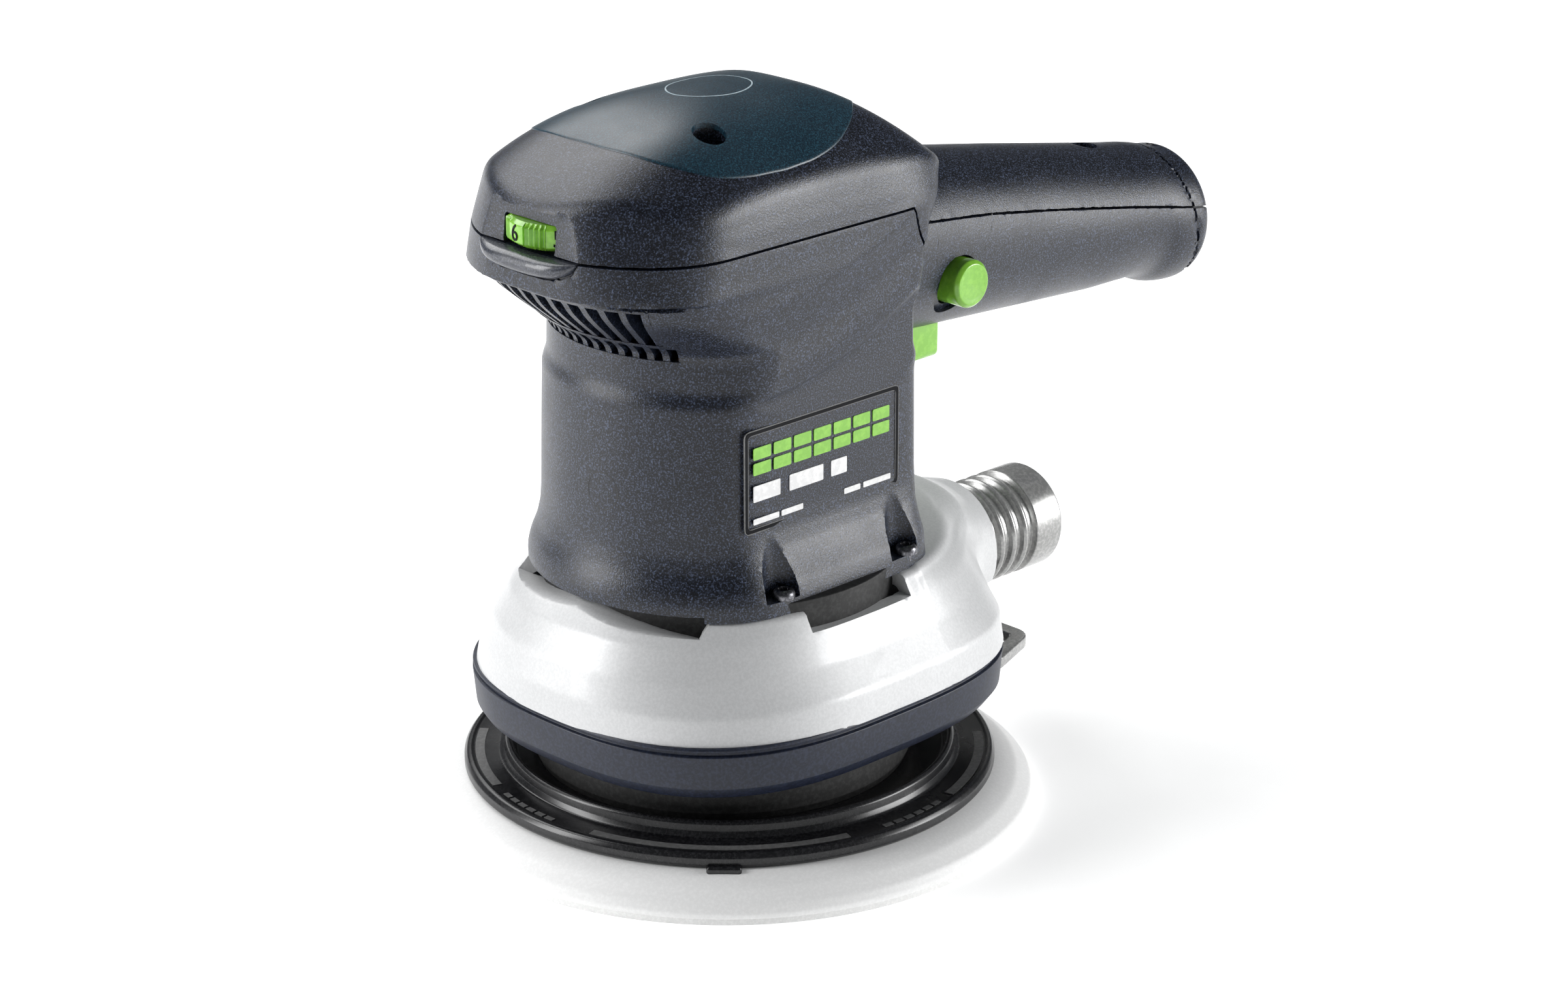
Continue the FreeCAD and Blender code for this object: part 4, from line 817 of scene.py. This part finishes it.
def make_dark_core():
    """A black ring in the gaps between the motor housing and the fan housing; its black is painted shade for the gaps'
    dark depth.
    """
    profile = rounded([(39, 54), (43, 54), (43, 66), (39, 66)], 0.4)
    # The ring's black stands in for the shade inside the gaps: painted shade.
    core = lathe("gap_shade_core", profile, count=120)
    finished(core, "seal_rubber", "housing")


def loft(name, outline, profile, count=240):
    """A ring whose (outset, height) profile follows an outline's plan."""
    angles = np.linspace(0, 2 * math.pi, count, endpoint=False)
    cosine, sine = np.cos(angles), np.sin(angles)
    vertices = []
    for outset, height in profile:
        radius = outline.look_up(outline.radius, cosine, sine, np.full(count, float(height))) + outset
        vertices += list(zip(radius * cosine, radius * sine, np.full(count, float(height))))
    return solid(name, vertices, grid_faces(len(profile), count, closed_rings=True))


def make_skirt():
    profile = rounded([
        (-0.2, 24.9, 1.2), (0, 28, 2), (0, 36.2, 0.3), (-0.9, 36.5, 0.2), (-0.9, 37.2, 0.2), (-0.1, 37.5, 0.3),
        (-0.4, 38.3, 0.3), (-2.6, 38.3, 0.2), (-2.6, 25.4, 0.6), (-1.6, 24.9, 0.3),
    ], 0.3, 5)
    skirt = loft("skirt_ring", skirt_outline, profile)
    finished(skirt, "skirt_plastic", "housing", ["skirt"])


# ---- sanding pad

PLATE_RADIUS = 65.2


def make_pad():
    cushion = [(8, 1.5, 0), (74.8, 1.5, 0.2), (75, 2.8, 1.5), (74.2, 4.6, 2.5), (70.6, 7.4, 6), (65.6, 9.4, 0), (8, 9.4, 0)]
    foam = lathe("pad_foam_ring", rounded(cushion, 0.5), (PAD_X, 0), 200)
    finished(foam, "pad_foam", "pad", ["pad_foam"])

    bead = [
        (8, 9.5, 0), (64.4, 9.5, 0.6), (65.2, 10.4, 0.8), (65.2, 12.2, 1), (64.4, 13.3, 0.9), (63.4, 13.45, 0.5),
        (62.9, 13.1, 0.3), (56.2, 13, 1), (55.4, 14.4, 0.8), (55.1, 16.2, 0.9), (54.3, 17, 0.8), (53.4, 16.4, 0.8),
        (52.4, 13.6, 0.8), (8, 13.2, 0),
    ]
    plate = lathe("pad_plate_rim", rounded(bead, 0.4, 4), (PAD_X, 0), 240)
    tabs = []
    for turn in (45, 225):
        tab = bevelled_box(f"tab_{turn}", (PLATE_RADIUS - 3, -4.1, 7.2), (PLATE_RADIUS + 1.4, 4.1, 10.6), 0.7)
        swing = Matrix.Rotation(math.radians(turn), 4, "Z")
        tab.data.transform(Matrix.Translation((PAD_X * MM, 0, 0)) @ swing)
        tabs.append(tab)
    plate = joined("pad_plate_rim", [plate, *tabs])
    finished(plate, "pad_plastic", "pad", ["pad_plate"])

    dashes = [(start, start + 2.4) for first in (166, 262) for start in np.arange(first, first + 18, 3.1)]
    arcs = []
    for start, end in [(129, 161), (194.5, 253), (284.5, 320), (10, 70), *dashes]:
        inner, outer = (60.9, 62.2) if end - start < 5 else (60.2, 62.5)
        steps = max(3, int((end - start) / 1.5))
        vertices = []
        for radius, height in ((inner, 12.9), (inner, 13.22), (outer, 13.22), (outer, 12.9)):
            for k in range(steps + 1):
                angle = math.radians(start + (end - start) * k / steps)
                vertices.append((PAD_X + radius * math.cos(angle), radius * math.sin(angle), height))
        columns = steps + 1
        faces = grid_faces(4, columns, closed_rings=True, closed_columns=False)
        faces += [(0, columns, 2 * columns, 3 * columns),
                  (4 * columns - 1, 3 * columns - 1, 2 * columns - 1, columns - 1)]
        arcs.append(new_object(f"arc_{start}", vertices, faces))
    arcs = joined("pad_printed_arcs", arcs)
    face_outward(arcs)
    finished(arcs, "grey_plastic", "pad", look="grey_print")


# ---- screws, dial, buttons

def star_screw(name, centre, top, radius, height, shank, shank_length):
    """A pan-head screw with a six-lobed recess."""
    star, floor = radius * 0.5, top - 1.6

    def lobes(r, level, angle):
        inside = r <= star * 1.02 and level > floor - 0.01
        return -r * 0.07 * (1 - math.cos(6 * angle)) if inside else 0

    under, tip = top - height, top - height - shank_length
    profile = [
        (0.05, floor), (star * 0.8, floor), (star * 0.98, floor + 0.15), (star, top - 0.12), (star * 1.06, top),
        (radius * 0.62, top - 0.02), (radius * 0.85, top - height * 0.16), (radius * 0.97, top - height * 0.42),
        (radius, top - height * 0.7), (radius, under), (shank, under), (shank, tip), (0.05, tip),
    ]
    return lathe(name, profile, centre, 72, lobes, closed=False)


def make_screws():
    base = [star_screw(f"base_screw_{k}", c, 69.2, 2.7, 2.2, 1.4, 5) for k, c in enumerate(BASE_SCREWS)]
    finished(joined("base_screws", base), "zinc_screw", "housing", ["housing_screws"])
    cover = [star_screw(f"cover_screw_{k}", c, 163, 3.4, 2.6, 1.9, 18) for k, c in enumerate(COVER_SCREWS)]
    finished(joined("cover_screws_star", cover), "zinc_screw", "housing", ["cover_screws"])
    grip = star_screw("handle_screw_star", HANDLE_SCREW, 136, 3.5, 2.6, 1.9, 16)
    finished(grip, "zinc_screw", "housing", ["handle_screw"])


def make_dial():
    low, high = node_box("speed_dial")
    first_digit, step, half_flat = 169, 54, 13.5

    def knurl(radius, height, angle):
        if radius < DIAL_RADIUS - 0.8:
            return 0
        nearest = (math.degrees(angle) - first_digit + step / 2) % step - step / 2
        return -0.3 if abs(nearest) < half_flat else -0.7 * (0.5 - 0.5 * math.cos(60 * angle)) ** 0.7

    rim = DIAL_RADIUS - 1.4
    profile = rounded([
        (3, low[2] + 1.2, 0), (rim, low[2] + 0.1, 0.3), (DIAL_RADIUS, low[2] + 0.9, 0.5),
        (DIAL_RADIUS, high[2] - 0.9, 0.5), (rim, high[2], 0.3), (3, high[2], 0),
    ], 0.4, 4)
    finished(lathe("speed_dial_drum", profile, DIAL, 540, knurl), "green_plastic", "dial", ["speed_dial"])
    marks = []
    for k, digit in enumerate("654321"):
        curve = bpy.data.curves.new(f"dial_digit_{digit}", "FONT")
        curve.body = digit
        curve.size = 5.6 * MM
        curve.extrude = 0.12 * MM
        curve.align_x, curve.align_y = "CENTER", "CENTER"
        text = bpy.data.objects.new(f"dial_digit_{digit}", curve)
        mesh = bpy.data.meshes.new_from_object(text)
        angle = math.radians(first_digit + step * k)
        stand = Matrix.Rotation(math.pi / 2, 4, "X")
        turn = Matrix.Rotation(angle + math.pi / 2, 4, "Z")
        reach = DIAL_RADIUS - 0.26
        place = Matrix.Translation((
            (DIAL[0] + reach * math.cos(angle)) * MM, (DIAL[1] + reach * math.sin(angle)) * MM,
            (low[2] + high[2]) / 2 * MM))
        mesh.transform(place @ turn @ stand)
        mark = bpy.data.objects.new(f"dial_digit_{digit}", mesh)
        bpy.context.collection.objects.link(mark)
        bpy.data.objects.remove(text)
        marks.append(mark)
    finished(joined("speed_dial_digits", marks), "black_plastic", "dial", look="label_film")


def make_lock_button():
    low, high = node_box("lock_button")
    radius = (high[0] - low[0]) / 2
    profile = rounded([
        (0.05, low[1] + 0.5, 0), (radius - 2.2, low[1] + 0.25, 1), (radius - 0.9, low[1] + 0.05, 0.6),
        (radius, low[1] + 1.0, 0.8), (radius, high[1], 0.2), (0.05, high[1], 0),
    ], 0.4, 4, closed=False)
    vertices, count = [], 96
    for r, along in profile:
        for k in range(count):
            angle = 2 * math.pi * k / count
            vertices.append((LOCK[0] + r * math.cos(angle), along, LOCK[1] + r * math.sin(angle)))
    button = solid("lock_button_cap", vertices, grid_faces(len(profile), count))
    finished(button, "green_plastic", "lock", ["lock_button"])


def make_trigger():
    low, high = TRIGGER_LOW, TRIGGER_HIGH
    lever = bevelled_box("trigger_paddle", (low[0], low[1], low[2]), (high[0], high[1], low[2] + 11), 1.6, 4)
    finished(lever, "green_plastic", "trigger", ["trigger_lever"])


# ---- dust outlet, bag bracket, label

def make_port():
    profile = [(10.8, 74, 0), (13.2, 74, 0.3), (13.2, 79.6, 0.3), (12.2, 80, 0.2)]
    at = 81.4
    while at < 98:
        rib = ((12.2, 0, 0.3), (13.3, 0.5, 0.5), (13.75, 1.4, 0.8), (13.3, 2.4, 0.5), (12.2, 2.9, 0.3))
        profile += [(radius, at + along, corner) for radius, along, corner in rib]
        at += 4.4
    profile += [
        (12.2, 99.4, 0.3), (13.7, 99.9, 0.4), (13.7, 109.0, 0.5), (13.0, 110, 0.5), (10.9, 110, 0.3), (10.8, 109, 0.2)]
    port = lathe("dust_port_ribbed", rounded(profile, 0.3, 3), (0, PORT_CENTRE), 128, axis="X")
    finished(port, "grey_plastic", "housing", ["dust_port"])


def make_bracket():
    """The wire-like loop that a dust bag hooks onto."""
    path = [(56, -34.5), (62, -34), (77.4, -28.6), (77.4, 28.6), (62, 34), (56, 34.5)]
    path = rounded(path, 4, 6, closed=False)
    section = rounded([(-2, -1.5), (2, -1.5), (2, 1.5), (-2, 1.5)], 0.5, 3)
    rings = []
    count = len(path)
    for i, point in enumerate(path):
        before, after = path[max(0, i - 1)], path[min(count - 1, i + 1)]
        along = (Vector(after) - Vector(before)).normalized()
        across = Vector((along.y, -along.x))
        for u, v in section:
            rings.append((point[0] + across.x * u, point[1] + across.y * u, 26.7 + v))
    loop = solid("bag_bracket_loop", rings, grid_faces(count, len(section)) + caps(count, len(section)))
    finished(loop, "grey_plastic", "housing", ["bag_bracket"])


def flat_plate(name, corners, y, thick, radius=2.0):
    """A thin plate standing against the motor body's flat side, its corners as (x, z)."""
    outline = rounded(corners, radius, 6)
    vertices = [(u, y, v) for u, v in outline] + [(u, y + thick, v) for u, v in outline]
    return solid(name, vertices, caps(2, len(outline)) + grid_faces(2, len(outline)))


def make_label():
    """The rating label: a dark border, and plain bars where the printing would be."""
    low_x, high_x, low_z, high_z = -24.8, 25.7, 83.3, 108.1

    def outline(inset, radius):
        corners = [(low_x + inset, low_z + inset), (high_x - inset, low_z + inset), (high_x - inset, high_z - inset),
                   (low_x + inset, high_z - inset)]
        return rounded([(*corner, radius) for corner in corners], radius, 6)

    def framed(name, outer, inner, y, radius):
        rims = [(outline(outer, radius), y + 0.3), (outline(outer, radius), y), (outline(inner, radius - 0.6), y),
                (outline(inner, radius - 0.6), y + 0.3)]
        vertices = [(u, depth, v) for rim, depth in rims for u, v in rim]
        return solid(name, vertices, grid_faces(4, len(vertices) // 4, closed_rings=True))

    finished(framed("label_light_edge", -0.15, 0.1, -34.05, 1.9), "label_film", "housing", look="grey_print")
    finished(framed("label_border", 0.1, 0.95, -34.08, 1.8), "label_film", "housing", ["label_panel"])
    finished(framed("label_inner_edge", 0.95, 1.12, -34.07, 1.3), "label_film", "housing", look="grey_print")
    glyphs = []
    left, pitch, wide, tall = -22.2, 6.5, 5.6, 2.9
    for k in range(7):
        at = left + k * pitch
        for low in (97.3, 101):
            corners = [(at, low), (at + wide, low), (at + wide, low + tall), (at, low + tall)]
            glyphs.append(flat_plate(f"label_block_{k}_{low}", corners, -34.2, 0.2, 0.4))
    finished(joined("label_bars_green", glyphs), "green_plastic", "housing")
    bars = []
    rows = [(90.8, 3.9, [(-22.2, -13.6), (-10.6, 0.4), (3, 8.2)]), (85.3, 1.4, [(-22.2, -14), (-13.2, -6.2)]),
            (85.3, 1.4, [(7.4, 12.8), (13.8, 23)])]
    for z, height, spans in rows:
        for start, end in spans:
            bars.append(flat_plate(f"label_bar_{start}_{z}", [
                (start, z), (end, z), (end, z + height), (start, z + height)], -34.2, 0.2, 0.3))
    finished(joined("label_bars_white", bars), "label_film", "housing", look="white_print")


# ---- materials

def new_material(name):
    material = bpy.data.materials.new(name)
    material.use_nodes = True
    tree = material.node_tree
    return material, tree, tree.nodes["Principled BSDF"]


def noise(tree, scale, detail=4, roughness=0.6):
    place = tree.nodes.new("ShaderNodeTexCoord")
    texture = tree.nodes.new("ShaderNodeTexNoise")
    texture.inputs["Scale"].default_value = scale
    texture.inputs["Detail"].default_value = detail
    texture.inputs["Roughness"].default_value = roughness
    tree.links.new(place.outputs["Object"], texture.inputs["Vector"])
    return texture.outputs["Fac"]


def ramp(tree, source, stops):
    node = tree.nodes.new("ShaderNodeValToRGB")
    while len(node.color_ramp.elements) < len(stops):
        node.color_ramp.elements.new(0.5)
    for element, (place, colour) in zip(node.color_ramp.elements, stops):
        element.position = place
        element.color = (*colour, 1) if len(colour) == 3 else colour
    tree.links.new(source, node.inputs["Fac"])
    return node.outputs["Color"]


def bump(tree, shader, source, distance, strength):
    node = tree.nodes.new("ShaderNodeBump")
    node.inputs["Strength"].default_value = strength
    node.inputs["Distance"].default_value = distance * MM
    tree.links.new(source, node.inputs["Height"])
    tree.links.new(node.outputs["Normal"], shader.inputs["Normal"])


def moulded(name, dark, light, roughness, grain, depth=0.04, strength=0.4, fleck=(0.45, 0.62), metallic=0.0,
            coat=0.0, specular=0.5):
    """Moulded or painted material: two close colours mixed by fine grain, uneven gloss, grained surface."""
    material, tree, shader = new_material(name)
    fine = noise(tree, grain, 3, 0.65)
    colour = ramp(tree, fine, [(fleck[0], dark), (fleck[1], light)])
    tree.links.new(colour, shader.inputs["Base Color"])
    broad = noise(tree, 60, 3)
    low, high = roughness
    gloss = ramp(tree, broad, [(0.3, (low,) * 3), (0.7, (high,) * 3)])
    tree.links.new(gloss, shader.inputs["Roughness"])
    shader.inputs["Metallic"].default_value = metallic
    shader.inputs["Coat Weight"].default_value = coat
    shader.inputs["Specular IOR Level"].default_value = specular
    bump(tree, shader, fine, depth, strength)
    return material


LOOKS = {
    "housing_plastic": moulded(
        "grained_blue_black", (0.0012, 0.0019, 0.0048), (0.105, 0.135, 0.22), (0.28, 0.38), 2500, 0.08, 1.0,
        (0.5, 0.74), specular=0.5),
    # A lighter copy of the housing plastic for the thumb lip. The lighter colour is painted highlight, and the lower
    # roughness is the lip's own gloss.
    "lip_painted_highlight_plastic": moulded(
        "smooth_plastic_painted_highlight", (0.03, 0.033, 0.042), (0.11, 0.12, 0.15), (0.24, 0.32), 2400, 0.04, 0.5,
        (0.45, 0.7), coat=0.25),
    "inlay_plastic": moulded(
        "speckled_teal", (0.002, 0.014, 0.026), (0.03, 0.115, 0.17), (0.3, 0.4), 2600, 0.04, 0.8, (0.46, 0.8)),
    "silver_plastic": moulded(
        "satin_silver_paint", (0.57, 0.575, 0.58), (0.63, 0.635, 0.64), (0.36, 0.45), 1500, 0.012, 0.15,
        (0.4, 0.62), metallic=0.12, coat=0.12),
    "skirt_plastic": moulded(
        "satin_navy", (0.004, 0.007, 0.018), (0.014, 0.02, 0.042), (0.4, 0.48), 1300, 0.03, 0.35),
    "green_plastic": moulded(
        "bright_green", (0.19, 0.47, 0.035), (0.24, 0.55, 0.05), (0.16, 0.24), 500, 0.01, 0.2, coat=0.4),
    "grey_plastic": moulded(
        "satin_grey", (0.34, 0.34, 0.335), (0.46, 0.46, 0.45), (0.2, 0.28), 1100, 0.01, 0.2, metallic=0.6),
    "label_film": moulded(
        "dark_film", (0.0015, 0.0018, 0.003), (0.003, 0.0035, 0.006), (0.5, 0.6), 1200, 0.01, 0.1, specular=0.12),
    "pad_foam": moulded("white_foam", (0.86, 0.86, 0.855), (0.91, 0.91, 0.905), (0.5, 0.6), 1400, 0.01, 0.12),
    "hook_fabric": moulded("hook_fabric", (0.82, 0.82, 0.81), (0.9, 0.9, 0.89), (0.8, 0.9), 1400, 0.1, 0.5),
    "pad_plastic": moulded(
        "black_pad_plastic", (0.005, 0.005, 0.006), (0.018, 0.018, 0.02), (0.22, 0.3), 1500, 0.01, 0.3),
    # seal_rubber also colours the black ring in the housing gaps, and there its black is painted shade.
    "seal_rubber": moulded("black_rubber_and_gap_shade", (0.006, 0.006, 0.006), (0.02, 0.02, 0.02), (0.55, 0.7), 900, 0.03, 0.4),
    "steel": moulded("ground_steel", (0.42, 0.42, 0.43), (0.55, 0.55, 0.56), (0.22, 0.34), 1200, 0.01, 0.3, metallic=1),
    "zinc_screw": moulded("dark_zinc", (0.1, 0.1, 0.11), (0.24, 0.24, 0.26), (0.25, 0.38), 1500, 0.02, 0.3, metallic=1),
    "aluminium": moulded("cast_aluminium", (0.55, 0.56, 0.57), (0.7, 0.71, 0.72), (0.35, 0.5), 700, metallic=1),
    "laminated_steel": moulded(
        "laminations", (0.2, 0.2, 0.22), (0.36, 0.36, 0.38), (0.3, 0.45), 1200, 0.05, 0.5, metallic=0.9),
    "copper": moulded(
        "lacquered_copper", (0.35, 0.12, 0.04), (0.6, 0.25, 0.1), (0.25, 0.35), 1500, 0.1, 0.7, metallic=1),
    "brass": moulded("brass", (0.5, 0.35, 0.12), (0.62, 0.45, 0.18), (0.25, 0.35), 900, 0.02, 0.3, metallic=1),
    "carbon": moulded("carbon", (0.01, 0.01, 0.01), (0.03, 0.03, 0.03), (0.5, 0.6), 1500, 0.05, 0.5),
    "black_plastic": moulded("black_plastic", (0.008, 0.008, 0.009), (0.02, 0.02, 0.022), (0.4, 0.5), 900, 0.02, 0.3),
    "circuit_board": moulded("circuit_board", (0.01, 0.08, 0.03), (0.03, 0.16, 0.06), (0.3, 0.4), 600, 0.03, 0.3),
    "wire_insulation": moulded("wire_insulation", (0.04, 0.06, 0.2), (0.07, 0.1, 0.3), (0.35, 0.45), 500, 0.02, 0.2),
    "white_print": moulded("white_print", (0.7, 0.7, 0.7), (0.85, 0.85, 0.85), (0.4, 0.5), 600, 0.01, 0.2),
    "grey_print": moulded("grey_print", (0.1, 0.1, 0.1), (0.14, 0.14, 0.14), (0.4, 0.5), 900, 0.01, 0.1),
    "pale_line": moulded("pale_line", (0.35, 0.45, 0.5), (0.5, 0.6, 0.65), (0.4, 0.5), 600, 0.01, 0.2),
}
foam_shader = LOOKS["pad_foam"].node_tree.nodes["Principled BSDF"].inputs
foam_shader["Subsurface Weight"].default_value = 0.35
foam_shader["Subsurface Radius"].default_value = (0.004, 0.004, 0.004)


def dress_cad_nodes():
    """Each CAD node that stays in view gets the material of its slot."""
    slots = {part["node"]: part["material_slot"] for part in frame["record"]["subparts"]}
    for name, obj in frame["nodes"].items():
        for place in obj.material_slots:
            place.material = LOOKS[slots[name]]
        if not obj.material_slots:
            obj.data.materials.append(LOOKS[slots[name]])


# ---- studio

CAMERA = Vector((-577.9, -606.8, 388.4))
TARGET = Vector((21.3, 0, 70.4))
LENS = 85.5


def aim(obj, place, target):
    obj.location = place * MM
    obj.rotation_euler = (target - place).to_track_quat("-Z", "Y").to_euler()


def softbox(name, place, target, width, height, power, colour=(1, 1, 1)):
    light = bpy.data.lights.new(name, "AREA")
    light.shape = "RECTANGLE"
    light.size, light.size_y = width * MM, height * MM
    light.energy = power
    light.color = colour
    obj = bpy.data.objects.new(name, light)
    bpy.context.collection.objects.link(obj)
    aim(obj, Vector(place), Vector(target))


def make_studio():
    floor_mesh = bpy.data.meshes.new("floor")
    reach = 30
    floor_mesh.from_pydata([(-reach, -reach, 0), (reach, -reach, 0), (reach, reach, 0), (-reach, reach, 0)], [],
                           [(0, 1, 2, 3)])
    floor = bpy.data.objects.new("floor", floor_mesh)
    floor.location.z = -0.0002
    bpy.context.collection.objects.link(floor)
    pale = moulded("pale_floor", (0.86, 0.86, 0.86), (0.9, 0.9, 0.9), (0.6, 0.7), 20, 0.01, 0.05)
    glow = pale.node_tree.nodes["Principled BSDF"].inputs
    glow["Emission Color"].default_value = (1, 1, 1, 1)
    glow["Emission Strength"].default_value = 0.5
    floor_mesh.materials.append(pale)

    world = bpy.data.worlds.new("studio")
    world.use_nodes = True
    world.node_tree.nodes["Background"].inputs["Color"].default_value = (0.92, 0.96, 1, 1)
    world.node_tree.nodes["Background"].inputs["Strength"].default_value = 0.12
    bpy.context.scene.world = world
    middle = (0, 0, 110)
    softbox("left_box", (-1300, 900, 700), middle, 600, 1300, 24)
    softbox("right_box", (1250, -1300, 480), middle, 900, 800, 29)
    softbox("top_box", (150, 1300, 1500), middle, 1800, 1200, 28)

    camera = bpy.data.cameras.new("camera")
    camera.lens = LENS
    camera.sensor_width = 36
    obj = bpy.data.objects.new("camera", camera)
    bpy.context.collection.objects.link(obj)
    aim(obj, CAMERA, TARGET)
    bpy.context.scene.camera = obj
    bpy.context.scene.view_settings.view_transform = "Standard"


# ---- the whole object

def make_all():
    dress_cad_nodes()
    for make in (make_lower_shell, make_upper_shell, make_lip, make_inlay, make_vent_fins, make_panel_lines,
                 make_fan_housing, make_dark_core, make_skirt, make_pad, make_screws, make_dial, make_lock_button,
                 make_trigger, make_port, make_bracket, make_label, make_studio):
        make()


make_all()
